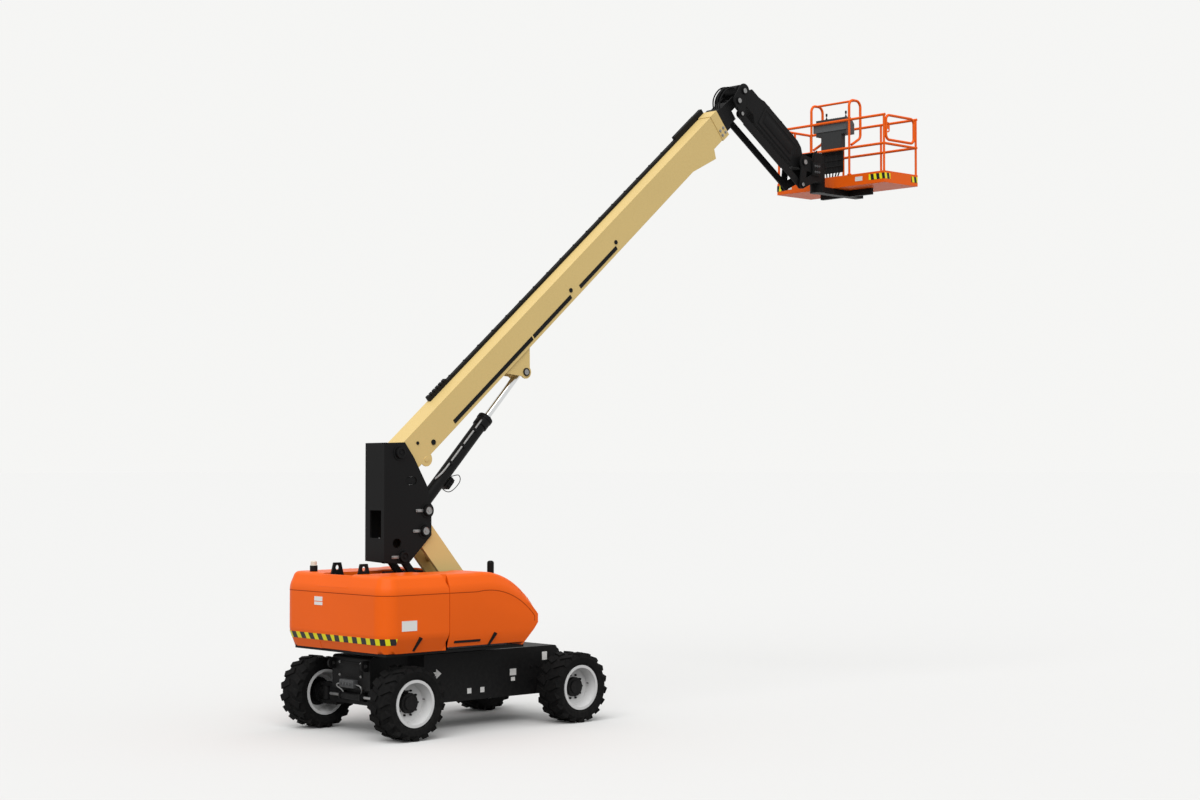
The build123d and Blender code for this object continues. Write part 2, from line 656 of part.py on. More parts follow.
def cheek_plate(side):
    """One upright plate of the turntable, with the tower links' pin holes and a lifting lug."""
    cheek_y = (CHEEK_INNER, CHEEK_INNER + CHEEK_THICK)
    lug = (LIFT_LUG_X - LIFT_LUG_HALF, LIFT_LUG_X + LIFT_LUG_HALF)
    front = PIN_A[0] + CHEEK_PIN_MARGIN
    outline = [
        (DECK_REAR_X + CHEEK_TAIL_IN, DECK_TOP), (front + CHEEK_FOOT, DECK_TOP), (front, PIN_A[1]),
        (front - CHEEK_CHAMFER, PIN_A[1] + CHEEK_PIN_MARGIN),
        (PIN_A[0] - CHEEK_CHAMFER, PIN_A[1] + CHEEK_PIN_MARGIN),
        (PIN_B[0] - CHEEK_PIN_MARGIN, PIN_B[1] + CHEEK_PIN_MARGIN),
        (lug[1] + CHEEK_SLOPE, COVER_CREASE_HIGH - CHEEK_SLOPE),
        (lug[1], LIFT_LUG_TOP - LIFT_LUG_NECK), (lug[1] - LIFT_LUG_CHAMFER, LIFT_LUG_TOP),
        (lug[0] + LIFT_LUG_CHAMFER, LIFT_LUG_TOP), (lug[0], LIFT_LUG_TOP - LIFT_LUG_NECK),
    ]
    cheek = plate_xz(outline, cheek_y)
    for pin in (PIN_A, PIN_B):
        cheek -= rod_y(pin, PIN_RADIUS + FIT, cheek_y)
    cheek -= rod_y((LIFT_LUG_X, LIFT_LUG_TOP - LIFT_LUG_HOLE_DROP), LIFT_LUG_HOLE, cheek_y)
    return cheek if side > 0 else mirror(cheek, about=Plane.XZ)


def counterweight():
    """The tail casting: three stacked slabs with rounded rear corners, tucked in above and below."""
    front = SEAM_X - SEAM_GAP / 2
    plan = Pos((front + TAIL_X) / 2, 0) * Rectangle(front - TAIL_X, 2 * COVER_HALF)
    plan = fillet(plan.vertices().group_by(Axis.X)[0], TAIL_CORNER)
    low_rise = COVER_CREASE_LOW - DECK_TOP
    top_rise = COVER_TOP - COVER_CREASE_HIGH
    shape = Pos(0, 0, COVER_CREASE_LOW) * extrude(plan, COVER_CREASE_HIGH - COVER_CREASE_LOW)
    upper_tilt = degrees(atan2(COVER_TUCK, top_rise))
    lower_tilt = degrees(atan2(COVER_TUCK, low_rise))
    shape += Pos(0, 0, COVER_CREASE_HIGH) * extrude(plan, top_rise, taper=upper_tilt)
    shape += Pos(0, 0, COVER_CREASE_LOW) * extrude(plan, low_rise, dir=(0, 0, -1), taper=lower_tilt)
    shape += box((front - 2 * COVER_TUCK, front), (-COVER_HALF + COVER_TUCK, COVER_HALF - COVER_TUCK),
                 (DECK_TOP, COVER_TOP))
    shape -= box((TAIL_X + TAIL_WALL, front), (-CHANNEL_HALF, CHANNEL_HALF), (DECK_TOP, COVER_TOP))
    pocket = box(POCKET_X, POCKET_Y, (DECK_TOP, COVER_TOP - POCKET_ROOF))
    return shape - pocket - mirror(pocket, about=Plane.XZ)


def hood_face(y, rear, top, low, step):
    """The hood's side view at one Y: level brow, arched nose and tucked chin, drawn in by step."""
    chin_run = (HOOD_NOSE_X - HOOD_CHIN_X) * (HOOD_NOSE_LOW - low) / (HOOD_NOSE_LOW - DECK_TOP)
    brow = (HOOD_BROW_X, top)
    nose = (HOOD_NOSE_X - step, HOOD_NOSE_HIGH)
    reach, rise = HOOD_BULGE
    bulge = (brow[0] + reach * (nose[0] - brow[0]), nose[1] + rise * (brow[1] - nose[1]))
    lip = (HOOD_NOSE_X - step, HOOD_NOSE_LOW)
    chin = (HOOD_NOSE_X - chin_run - step, low)
    edges = [
        Line((rear, low), chin), Line(chin, lip), Line(lip, nose), ThreePointArc(nose, bulge, brow),
        Line(brow, (rear, top)), Line((rear, top), (rear, low)),
    ]
    return Pos(0, y, 0) * (Plane.XZ * make_face(edges))


def hood_block(rear, wall):
    """The hood's full form, drawn in by a wall on every outer side."""
    y = (HOOD_INNER, COVER_HALF - COVER_TUCK, COVER_HALF - wall)
    low = DECK_TOP + SEAT_GAP - wall
    full = hood_face(y[1], rear, COVER_TOP - wall, low, wall)
    crease = hood_face(y[2], rear, COVER_CREASE_HIGH - wall, COVER_CREASE_LOW, HOOD_CREASE_IN + wall)
    return extrude(full, y[1] - y[0], dir=(0, -1, 0)) + loft([full, crease], ruled=True)


def hood(side):
    rear = SEAM_X + SEAM_GAP / 2
    shape = hood_block(rear, 0) - hood_block(rear - HOOD_WALL, HOOD_WALL)
    shape += box((rear, rear + HOOD_WALL), (HOOD_INNER, COVER_HALF - COVER_TUCK),
                 (COVER_CREASE_HIGH, COVER_TOP - HOOD_WALL))
    return shape if side > 0 else mirror(shape, about=Plane.XZ)


def engine():
    return box(ENGINE_X, ENGINE_Y, (DECK_TOP, DECK_TOP + ENGINE_HEIGHT))


def tank():
    return box(TANK_X, TANK_Y, (DECK_TOP, DECK_TOP + TANK_HEIGHT))


def exhaust():
    pipe = rod_z(EXHAUST_X, EXHAUST_Y, EXHAUST_RADIUS, (DECK_TOP, COVER_TOP + EXHAUST_RISE))
    return fillet(pipe.edges().group_by(Axis.Z)[-1], EXHAUST_ROUND)


def beacon():
    base_top = COVER_TOP + BEACON_BASE
    shape = rod_z(BEACON_X, BEACON_Y, BEACON_RADIUS, (COVER_TOP, base_top))
    shape += rod_z(BEACON_X, BEACON_Y, BEACON_DOME_RADIUS, (base_top, COVER_TOP + BEACON_HEIGHT))
    return fillet(shape.edges().group_by(Axis.Z)[-1], BEACON_ROUND)


def pin_through(point, radius, inner_y):
    """A pin with a round head outside each plate."""
    head = inner_y + HEAD_GAP
    shape = rod_y(point, radius, (-head, head))
    return shape + both_sides(rod_y(point, PIN_HEAD_RADIUS, (head, head + PIN_HEAD)))


def tower_link():
    y = (LINK_INNER, LINK_INNER + LINK_THICK)
    shape = both_sides(strap((PIN_A, PIN_C), LINK_DEPTH / 2, y))
    middle = ((PIN_A[0] + PIN_C[0]) / 2, (PIN_A[1] + PIN_C[1]) / 2)
    shape += rod_y(middle, LINK_TUBE_RADIUS, (-LINK_INNER, LINK_INNER))
    shape += rod_y(PIN_A, PIN_RADIUS, (-CHEEK_INNER - CHEEK_THICK, CHEEK_INNER + CHEEK_THICK))
    return shape + pin_through(PIN_C, PIN_RADIUS, UPRIGHT_INNER + UPRIGHT_PLATE)


def timing_link():
    y = (LINK_INNER, LINK_INNER + LINK_THICK)
    shape = both_sides(strap((PIN_B, PIN_D), TIMING_DEPTH / 2, y))
    shape += rod_y(PIN_B, PIN_RADIUS, (-CHEEK_INNER - CHEEK_THICK, CHEEK_INNER + CHEEK_THICK))
    return shape + pin_through(PIN_D, PIN_RADIUS, UPRIGHT_INNER + UPRIGHT_PLATE)


def upright():
    y = (UPRIGHT_INNER, UPRIGHT_INNER + UPRIGHT_PLATE)
    plate = plate_xz(UPRIGHT_OUTLINE, y)
    for pin in (PIVOT, LIFT_BASE, PIN_C, PIN_D):
        plate -= rod_y(pin, PIN_RADIUS + FIT, y)
    for low, high, radius in UPRIGHT_SLOTS:
        plate -= strap((low, high), radius, y)
    web_x = (UPRIGHT_WEB_X, UPRIGHT_WEB_X + UPRIGHT_WEB)
    web = box(web_x, (-UPRIGHT_INNER, UPRIGHT_INNER), UPRIGHT_WEB_Z)
    return both_sides(plate) + web - box(web_x, WEB_SLOT_Y, WEB_SLOT_Z)


def boom_tube(s, step, wall):
    """One hollow boom section, smaller than the base section by step all over."""
    half = (BOOM_WIDTH - step) / 2
    rise = (BOOM_DEPTH - step) / 2
    n = (BOOM_MID_N - rise, BOOM_MID_N + rise)
    outer = box(s, (-half, half), n)
    return outer - box((s[0] - 1, s[1] + 1), (-half + wall, half - wall), (n[0] + wall, n[1] - wall))


def wear_pads(s, inner_step, outer_step, gap_inside):
    """A ring of pads that fills the space between two sections, less the running fit on one side."""
    trim_in = 2 * FIT if gap_inside else 0
    trim_out = 0 if gap_inside else 2 * FIT
    half = (BOOM_WIDTH - outer_step - trim_out) / 2
    rise = (BOOM_DEPTH - outer_step - trim_out) / 2
    ring = box(s, (-half, half), (BOOM_MID_N - rise, BOOM_MID_N + rise))
    half = (BOOM_WIDTH - inner_step + trim_in) / 2
    rise = (BOOM_DEPTH - inner_step + trim_in) / 2
    return ring - box((s[0] - 1, s[1] + 1), (-half, half), (BOOM_MID_N - rise, BOOM_MID_N + rise))


def base_boom():
    shape = boom_tube((BOOM_TAIL_S, BOOM_NOSE_S), 0, BOOM_WALL)
    shape += wear_pads((BOOM_NOSE_S - PAD_LENGTH, BOOM_NOSE_S), SECTION_STEP, 2 * BOOM_WALL, True)
    collar_s = (BOOM_NOSE_S - NOSE_COLLAR, BOOM_NOSE_S)
    shape += boom_tube(collar_s, -2 * NOSE_COLLAR_THICK, NOSE_COLLAR_THICK + BOOM_WALL / 2)
    low = BOOM_LOW_N
    half = BOOM_WIDTH / 2
    shape += plate_xz([(BOOM_NOSE_S - back, low - depth) for back, depth in NOSE_PLATE], (-half, half))
    ear_y = (LIFT_EAR_INNER, LIFT_EAR_INNER + LIFT_EAR_THICK)
    ear = plate_xz([
        (LIFT_EYE_S - LIFT_EAR_BACK, low), (LIFT_EYE_S - LIFT_EAR_MARGIN, LIFT_EYE_N),
        (LIFT_EYE_S + LIFT_EAR_MARGIN, LIFT_EYE_N), (LIFT_EYE_S + LIFT_EAR_FRONT, low),
    ], ear_y)
    ear += rod_y((LIFT_EYE_S, LIFT_EYE_N), LIFT_EAR_MARGIN, ear_y)
    shape += both_sides(ear)
    shape += both_sides(rod_y((TAIL_LOBE_S, low), TAIL_LOBE_RADIUS, (half - BOOM_WALL, half)))
    shape += both_sides(rod_y((TAIL_LOBE_S, low), TAIL_LOBE_PIN, (half, half + TAIL_LOBE_PIN_END)))
    boss = rod_y((0, 0), PIVOT_BOSS, (half - BOOM_WALL, UPRIGHT_INNER - HEAD_GAP))
    shape = in_boom(shape + both_sides(boss))
    return shape + pin_through(PIVOT, PIN_RADIUS, UPRIGHT_INNER + UPRIGHT_PLATE)


def hose_track():
    """The tray that carries the hoses, with its chain's links at the low end and a box at the top."""
    shape = box(TRACK_S, TRACK_Y, (BOOM_TOP_N, BOOM_TOP_N + TRACK_HEIGHT))
    shape += box((TRACK_S[1] - TRACK_HEAD, TRACK_S[1]), TRACK_Y, (BOOM_TOP_N, BOOM_TOP_N + TRACK_HEAD_HEIGHT))
    for k in range(TRACK_LINKS):
        s = TRACK_S[0] + k * TRACK_LINK_PITCH
        shape += box((s, s + TRACK_LINK), TRACK_Y, (BOOM_TOP_N, BOOM_TOP_N + TRACK_LINK_HEIGHT))
    return in_boom(shape)


def mid_boom():
    shape = boom_tube((MID_TAIL_S, MID_NOSE_S), SECTION_STEP, MID_WALL)
    shape += wear_pads((MID_TAIL_S, MID_TAIL_S + PAD_LENGTH), SECTION_STEP, 2 * BOOM_WALL, False)
    inner = SECTION_STEP + 2 * MID_WALL
    shape += wear_pads((MID_NOSE_S - PAD_LENGTH, MID_NOSE_S), 2 * SECTION_STEP, inner, True)
    return in_boom(shape)


def fly_boom():
    shape = boom_tube((FLY_TAIL_S, FLY_NOSE_S), 2 * SECTION_STEP, FLY_WALL)
    inner = SECTION_STEP + 2 * MID_WALL
    shape += wear_pads((FLY_TAIL_S, FLY_TAIL_S + PAD_LENGTH), 2 * SECTION_STEP, inner, False)
    half = (BOOM_WIDTH - 2 * SECTION_STEP) / 2
    y = (half - JIB_CHEEK_THICK, half)
    root_s = FLY_NOSE_S - PAD_LENGTH
    head = strap(((root_s, LEVEL_PIN_N), (LEVEL_PIN_S, LEVEL_PIN_N)), HEAD_RADIUS, y)
    shape = in_boom(shape + both_sides(head))
    reach = JIB_CHEEK_INNER + JIB_CHEEK_THICK
    return shape + rod_y(LEVEL_PIN, JIB_PIN_RADIUS, (-reach, reach))


def lift_barrel():
    end = LIFT_BARREL_LENGTH
    shape = rod_x(0, 0, LIFT_BARREL_RADIUS, (LIFT_FOOT - LIFT_FOOT_LAP, end))
    shape += rod_x(0, 0, LIFT_HEAD_RADIUS, (end - LIFT_HEAD_LENGTH, end))
    shape -= rod_x(0, 0, LIFT_BARREL_BORE, (LIFT_BORE_START, end - LIFT_HEAD_LENGTH / 2))
    shape -= rod_x(0, 0, LIFT_ROD_RADIUS + FIT, (end - LIFT_HEAD_LENGTH, end))
    shape += rod_y((0, 0), LIFT_FOOT, (-LIFT_FOOT, LIFT_FOOT))
    return in_lift(shape) + pin_through(LIFT_BASE, PIN_RADIUS, UPRIGHT_INNER + UPRIGHT_PLATE)


def lift_rod():
    shape = rod_x(0, 0, LIFT_ROD_RADIUS, (LIFT_ROD_START, LIFT_LENGTH))
    shape += rod_x(0, 0, LIFT_BARREL_BORE - FIT, (LIFT_ROD_START - LIFT_PISTON, LIFT_ROD_START))
    return in_lift(shape + rod_y((LIFT_LENGTH, 0), LIFT_ROD_EYE, (-LIFT_EYE_HALF, LIFT_EYE_HALF)))


def jib_bracket():
    y = (JIB_CHEEK_INNER, JIB_CHEEK_INNER + JIB_CHEEK_THICK)
    cheek = strap((LEVEL_PIN, JIB_PIN), JIB_CHEEK_MARGIN, y)
    cheek += strap((LEVEL_PIN, JIB_LINK_PIN), JIB_STRUT_MARGIN, y)
    cheek += strap((JIB_PIN, JIB_LINK_PIN), JIB_STRUT_MARGIN, y)
    cheek -= rod_y(LEVEL_PIN, JIB_PIN_RADIUS + FIT, y)
    cheek += rod_y(JIB_LINK_PIN, JIB_STUB_RADIUS, (JIB_BAR_INNER, y[0]))
    return both_sides(cheek) + rod_y(JIB_PIN, JIB_PIN_RADIUS, (-y[0], y[0]))


def jib_arm():
    half = JIB_DEPTH / 2
    y = (-JIB_HALF, JIB_HALF)
    shape = box((0, JIB_LENGTH), y, (-half, half))
    shape += rod_y((0, 0), half, y) + rod_y((JIB_LENGTH, 0), half, y)
    rear, front = JIB_COVER_S
    belly, crown = JIB_COVER_N
    shape += plate_xz([
        (rear - JIB_COVER_SLOPE, -half), (rear, belly), (front, belly),
        (JIB_LENGTH, -half), (JIB_LENGTH, half),
        (front, crown), (JIB_BROW_S[1], JIB_BROW_N), (JIB_BROW_S[0], JIB_BROW_N),
        (JIB_BROW_S[0] - JIB_COVER_SLOPE, crown), (JIB_NECK_S, crown), (JIB_NECK_S - JIB_COVER_SLOPE, half),
    ], y)
    inner = (-JIB_HALF + JIB_WALL, JIB_HALF - JIB_WALL)
    shape -= box((2 * half, JIB_LENGTH - 2 * half), inner, (-half + JIB_WALL, half - JIB_WALL))
    cover_s = (JIB_COVER_S[0] + JIB_WALL, JIB_COVER_S[1] - JIB_WALL)
    shape -= box(cover_s, inner, (JIB_COVER_N[0] + JIB_WALL, JIB_COVER_N[1] - JIB_WALL))
    for s in (0, JIB_LENGTH):
        shape -= rod_y((s, 0), JIB_PIN_RADIUS + FIT, y)
    return in_jib(shape)


def jib_link():
    y = (JIB_BAR_INNER, JIB_BAR_INNER + JIB_BAR_THICK)
    bar = strap((JIB_LINK_PIN, JIB_LINK_TIP), JIB_BAR_DEPTH / 2, y)
    for pin in (JIB_LINK_PIN, JIB_LINK_TIP):
        bar += rod_y(pin, JIB_BAR_END, y)
        bar -= rod_y(pin, JIB_STUB_RADIUS + FIT, y)
    return bar


def jib_end():
    y = (JIB_CHEEK_INNER, JIB_CHEEK_INNER + JIB_CHEEK_THICK)
    seat_x = ROTATOR_BLOCK_X + ROTATOR_SEAT
    cheek = strap((JIB_TIP, JIB_LINK_TIP), JIB_STRUT_MARGIN, y)
    cheek += strap((JIB_TIP, (seat_x, sum(ROTATOR_Z) / 2)), JIB_CHEEK_MARGIN, y)
    cheek += strap((JIB_LINK_TIP, (seat_x, ROTATOR_Z[0] + ROTATOR_FOOT)), JIB_STRUT_MARGIN, y)
    cheek += rod_y(JIB_LINK_TIP, JIB_STUB_RADIUS, (JIB_BAR_INNER, y[0]))
    shape = both_sides(cheek) + rod_y(JIB_TIP, JIB_PIN_RADIUS, (-y[0], y[0]))
    shape += box((ROTATOR_BLOCK_X, ROTATOR_X - ROTATOR_RADIUS), (-y[1], y[1]), ROTATOR_Z)
    neck_x = (ROTATOR_X - ROTATOR_RADIUS - ROTATOR_WEB, ROTATOR_X)
    shape += box(neck_x, (-ROTATOR_RADIUS, ROTATOR_RADIUS), ROTATOR_Z)
    shape += rod_z(ROTATOR_X, 0, ROTATOR_RADIUS, ROTATOR_Z)
    hollow_x = (ROTATOR_BLOCK_X, ROTATOR_X - ROTATOR_RADIUS - ROTATOR_WEB)
    hollow_z = (ROTATOR_Z[0] + ROTATOR_WEB, ROTATOR_Z[1] - ROTATOR_WEB)
    shape -= box(hollow_x, (-y[0], y[0]), hollow_z)
    return shape - rod_z(ROTATOR_X, 0, ROTATOR_SHAFT + FIT, ROTATOR_Z)


def rotator_arm():
    top = FLOOR_BOTTOM
    low = top - ROTATOR_ARM_DEPTH
    arm_x = (ROTATOR_X, PLATFORM_X[1] - ROTATOR_ARM_SHORT)
    shape = box(arm_x, (-ROTATOR_ARM_HALF, ROTATOR_ARM_HALF), (low, top))
    shape += rod_z(ROTATOR_X, 0, ROTATOR_RADIUS, (low, ROTATOR_Z[0] - SEAT_GAP))
    beam_x = (CROSS_BEAM_X - CROSS_BEAM_WIDTH / 2, CROSS_BEAM_X + CROSS_BEAM_WIDTH / 2)
    shape += box(beam_x, (-CROSS_BEAM_HALF, CROSS_BEAM_HALF), (low, top))
    cap = ROTATOR_Z[1] + HEAD_GAP
    shape += rod_z(ROTATOR_X, 0, ROTATOR_SHAFT, (low, cap))
    return shape + rod_z(ROTATOR_X, 0, ROTATOR_CAP_RADIUS, (cap, cap + ROTATOR_CAP))


def platform_floor():
    y = (-PLATFORM_HALF, PLATFORM_HALF)
    shape = box(PLATFORM_X, y, (FLOOR_BOTTOM, TOE_TOP))
    inner_x = (PLATFORM_X[0] + TOE_WALL, PLATFORM_X[1] - TOE_WALL)
    inner_y = (y[0] + TOE_WALL, y[1] - TOE_WALL)
    return shape - box(inner_x, inner_y, (FLOOR_BOTTOM + FLOOR_THICK, TOE_TOP))


def long_panel(x):
    """Posts with a top rail and a middle rail, along one long side of the platform."""
    shape = None
    for y in (-RAIL_Y, -GUARD_HALF, GUARD_HALF, RAIL_Y):
        post = rod_z(x, y, POST_RADIUS, (TOE_TOP, RAIL_TOP))
        shape = post if shape is None else shape + post
    for z in (RAIL_MID, RAIL_TOP):
        shape += rod_y((x, z), RAIL_RADIUS, (-RAIL_Y - RAIL_RADIUS, RAIL_Y + RAIL_RADIUS))
    return shape


def rail_end():
    x = (RAIL_X[0] + RAIL_RADIUS + SEAT_GAP, RAIL_X[1] - RAIL_RADIUS - SEAT_GAP)
    post = rod_z(sum(x) / 2, RAIL_Y, POST_RADIUS, (TOE_TOP, RAIL_TOP))
    for z in (RAIL_MID, RAIL_TOP):
        post += rod_x(RAIL_Y, z, RAIL_RADIUS, x)
    return post


def gate_rail():
    x = (RAIL_X[0] + RAIL_RADIUS + SEAT_GAP, RAIL_X[1] - RAIL_RADIUS - SEAT_GAP)
    return rod_x(-RAIL_Y, RAIL_MID, RAIL_RADIUS, x)


def bent_tube(points, radius, bend):
    """A round tube along straight runs with equal bends."""
    path = Polyline(*points)
    path = fillet(path.vertices()[1:-1], bend)
    start = path @ 0.0
    profile = Plane(origin=start, z_dir=path % 0.0) * Circle(radius)
    return sweep(profile, path=path)


def gate():
    """A rounded loop of tube in two halves."""
    x = (RAIL_X[0] + 2 * RAIL_RADIUS + GATE_GAP, GATE_HINGE_X)
    y = -RAIL_Y
    middle = sum(GATE_Z) / 2
    shape = None
    for level in GATE_Z:
        points = [(x[0], y, middle), (x[0], y, level), (x[1], y, level), (x[1], y, middle)]
        half = bent_tube(points, RAIL_RADIUS, GATE_BEND)
        shape = half if shape is None else shape + half
    return shape


def rail_front():
    """The front panel, with two tabs that the gate's tube turns on."""
    shape = long_panel(RAIL_X[1])
    tab_x = (GATE_HINGE_X + RAIL_RADIUS + FIT, RAIL_X[1])
    tab_y = (-RAIL_Y - GATE_TAB_THICK / 2, -RAIL_Y + GATE_TAB_THICK / 2)
    for height in (GATE_Z[0] + GATE_BEND, GATE_Z[1] - GATE_BEND):
        shape += box(tab_x, tab_y, (height - GATE_TAB_HEIGHT / 2, height + GATE_TAB_HEIGHT / 2))
    return shape


def console_guard():
    x = (RAIL_X[0], RAIL_X[0] + GUARD_REACH)
    foot = RAIL_TOP + RAIL_RADIUS + SEAT_GAP
    shape = rod_y((sum(x) / 2, GUARD_TOP), GUARD_BAR_RADIUS, (-GUARD_HALF, GUARD_HALF))
    for y in (-GUARD_HALF, GUARD_HALF):
        shape += bent_tube([
            (x[0], y, foot), (x[0], y, GUARD_TOP), (x[1], y, GUARD_TOP), (x[1], y, RAIL_MID + GUARD_KNEE),
            (x[0] + GUARD_TOE, y, RAIL_MID + GUARD_TOE),
        ], RAIL_RADIUS, GUARD_BEND)
    return shape


def console():
    back = RAIL_X[0] + RAIL_RADIUS + SEAT_GAP
    front = back + CONSOLE_DEPTH
    low, top = CONSOLE_Z
    run, drop = CONSOLE_SLOPE
    shape = plate_xz([
        (back, low), (front, low), (front, top - drop), (front - run, top), (back, top),
    ], (-CONSOLE_HALF, CONSOLE_HALF))
    stem = (-CONSOLE_LOW_HALF, CONSOLE_LOW_HALF)
    return shape + box((back, back + CONSOLE_DEPTH / 2), stem, (low - CONSOLE_STEM, low))


WHEELS = [
    # name, x of the axle, side
    ("drive_left", AXLE_X, 1),
    ("drive_right", AXLE_X, -1),
    ("steer_left", -AXLE_X, 1),
    ("steer_right", -AXLE_X, -1),
]


def pieces():
    """Every node by its name."""
    made = {
        "chassis_frame": chassis_frame(), "drive_axle": drive_axle(), "steer_axle": steer_axle(),
        "swing_ring": swing_ring(), "knuckle_left": knuckle(1), "knuckle_right": knuckle(-1),
        "steer_rod": steer_rod(),
    }
    wheel_pieces = {"tyre": tyre(), "rim": rim(), "hub": hub()}
    for name, x, side in WHEELS:
        for piece, shape in wheel_pieces.items():
            made[f"{piece}_{name}"] = wheel_place(x, side) * shape
    bar = jib_link()
    made |= {
        "turntable_deck": turntable_deck(),
        "cheek_left": cheek_plate(1), "cheek_right": cheek_plate(-1), "counterweight": counterweight(),
        "engine": engine(), "tank": tank(), "exhaust": exhaust(), "beacon": beacon(),
        "hood_left": hood(1), "hood_right": hood(-1),
        "tower_link": tower_link(), "timing_link": timing_link(), "upright": upright(),
        "base_boom": base_boom(), "hose_track": hose_track(),
        "mid_boom": mid_boom(), "fly_boom": fly_boom(),
        "lift_barrel": lift_barrel(), "lift_rod": lift_rod(),
        "jib_bracket": jib_bracket(), "jib_arm": jib_arm(),
        "jib_link_left": bar, "jib_link_right": mirror(bar, about=Plane.XZ), "jib_end": jib_end(),
        "rotator_arm": rotator_arm(), "platform_floor": platform_floor(),
        "rail_back": long_panel(RAIL_X[0]), "rail_front": rail_front(),
        "rail_end": rail_end(), "gate_rail": gate_rail(), "gate": gate(),
        "console_guard": console_guard(), "console": console(),
    }
    return made


def main():
    os.makedirs("parts", exist_ok=True)
    for name, shape in pieces().items():
        solids = shape.solids()
        print(name, len(solids), "solid", round(sum(s.volume for s in solids) / 1e9, 4), "m3")
        export_step(Pos(FRAME_SHIFT_X, 0, 0) * shape, f"parts/{name}.step")


if __name__ == "__main__":
    main()
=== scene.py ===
# %% [markdown]
# # Dressing a telescopic boom lift
# The real machine is a welded steel boom on a swinging turntable, with a work platform at its tip.
# Its solids are already packed in their true places, so this lesson never moves one. It copies them,
# softens their edges, gives every surface its finish and adds the small fittings that solids leave out.

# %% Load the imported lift
import json
import math

import bmesh
import bpy
from mathutils import Matrix, Vector


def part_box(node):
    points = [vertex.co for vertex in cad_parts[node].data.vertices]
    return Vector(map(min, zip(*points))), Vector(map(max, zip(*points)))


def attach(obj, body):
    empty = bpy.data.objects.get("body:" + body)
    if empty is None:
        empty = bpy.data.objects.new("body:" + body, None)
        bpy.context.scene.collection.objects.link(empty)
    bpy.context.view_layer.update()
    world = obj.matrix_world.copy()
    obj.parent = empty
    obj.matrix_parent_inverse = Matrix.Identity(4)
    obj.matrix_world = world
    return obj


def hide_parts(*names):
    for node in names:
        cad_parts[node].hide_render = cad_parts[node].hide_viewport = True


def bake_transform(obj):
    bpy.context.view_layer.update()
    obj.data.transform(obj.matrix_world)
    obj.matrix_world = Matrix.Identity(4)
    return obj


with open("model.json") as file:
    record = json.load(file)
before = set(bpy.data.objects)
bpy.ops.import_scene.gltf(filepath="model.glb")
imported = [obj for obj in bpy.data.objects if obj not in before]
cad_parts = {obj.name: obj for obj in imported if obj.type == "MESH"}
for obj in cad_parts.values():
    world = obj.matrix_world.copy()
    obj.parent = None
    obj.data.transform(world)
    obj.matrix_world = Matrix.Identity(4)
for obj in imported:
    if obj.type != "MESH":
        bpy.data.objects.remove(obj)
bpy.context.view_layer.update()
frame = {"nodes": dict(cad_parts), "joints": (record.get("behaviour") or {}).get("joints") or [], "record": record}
joint_at = {joint["name"]: Vector(joint["pos_m"]) for joint in frame["joints"] if "pos_m" in joint}
slide_along = {joint["name"]: Vector(joint["axis"]) for joint in frame["joints"] if joint["type"] == "slide"}
slot_of = {part["node"]: part["material_slot"] for part in frame["record"]["subparts"]}
body_of = {node: body for body, nodes in frame["record"]["behaviour"]["bodies"].items() for node in nodes}

# %% [markdown]
# ## The camera
# The photograph was taken from behind and from the right, from far off and a little above a person's
# height. Its place, turn and lens were worked out once from the wheels, the axles and the platform's
# corners, so they are plain numbers here.

# %% Camera
CAMERA_PLACE = (-22.689, -23.509, 3.762)
CAMERA_YAW = 43.147
CAMERA_PITCH = 1.772
CAMERA_LENS = 62.125
CAMERA_REACH = 1000.0

bpy.ops.object.camera_add(
    location=CAMERA_PLACE,
    rotation=(math.radians(90 + CAMERA_PITCH), 0, math.radians(-CAMERA_YAW)),
)
camera = bpy.context.object
camera.data.lens = CAMERA_LENS
camera.data.sensor_fit = "HORIZONTAL"
camera.data.sensor_width = 36.0
camera.data.clip_end = CAMERA_REACH
bpy.context.scene.camera = camera
print("camera", CAMERA_LENS, "mm at", CAMERA_PLACE)

# %% [markdown]
# ## Studio light
# A pale sky lights the machine from all round, and one wide sun from behind the camera gives the tops a
# little more than the sides. Lamps at a distance fall off across a machine this long, and a sun doesn't.
# The camera and mirror-like surfaces see the pale backdrop itself, through the Light Path node. The floor
# does the same: it looks pale, but throws back less light, so the undersides of the machine stay dark.

# %% World, sun and floor
BACKDROP = (0.918, 0.918, 0.905, 1)
SKY_LEVEL = 0.74
SUN_LEVEL = 2.10
SUN_SPREAD = 55.0
SUN_FROM = Vector((-0.50, -0.42, 0.76))
FLOOR_SEEN = (0.73, 0.73, 0.722, 1)
FLOOR_BOUNCE = (0.24, 0.24, 0.24, 1)
FLOOR_SIZE = 1600.0
FLOOR_DROP = 0.002


def add_node(tree, kind, **settings):
    """A node with its settings, given by name, and its inputs, given by a dictionary."""
    node = tree.nodes.new(kind)
    for label, value in settings.pop("inputs", {}).items():
        node.inputs[label].default_value = value
    for label, value in settings.items():
        setattr(node, label, value)
    return node


def seen_directly(tree):
    """One where the camera, a reflection or a view through glass looks, and zero for other light."""
    ray = add_node(tree, "ShaderNodeLightPath")
    looked = add_node(tree, "ShaderNodeMath", operation="MAXIMUM")
    through = add_node(tree, "ShaderNodeMath", operation="MAXIMUM")
    tree.links.new(ray.outputs["Is Camera Ray"], looked.inputs[0])
    tree.links.new(ray.outputs["Is Glossy Ray"], looked.inputs[1])
    tree.links.new(looked.outputs[0], through.inputs[0])
    tree.links.new(ray.outputs["Is Transmission Ray"], through.inputs[1])
    return through.outputs[0]


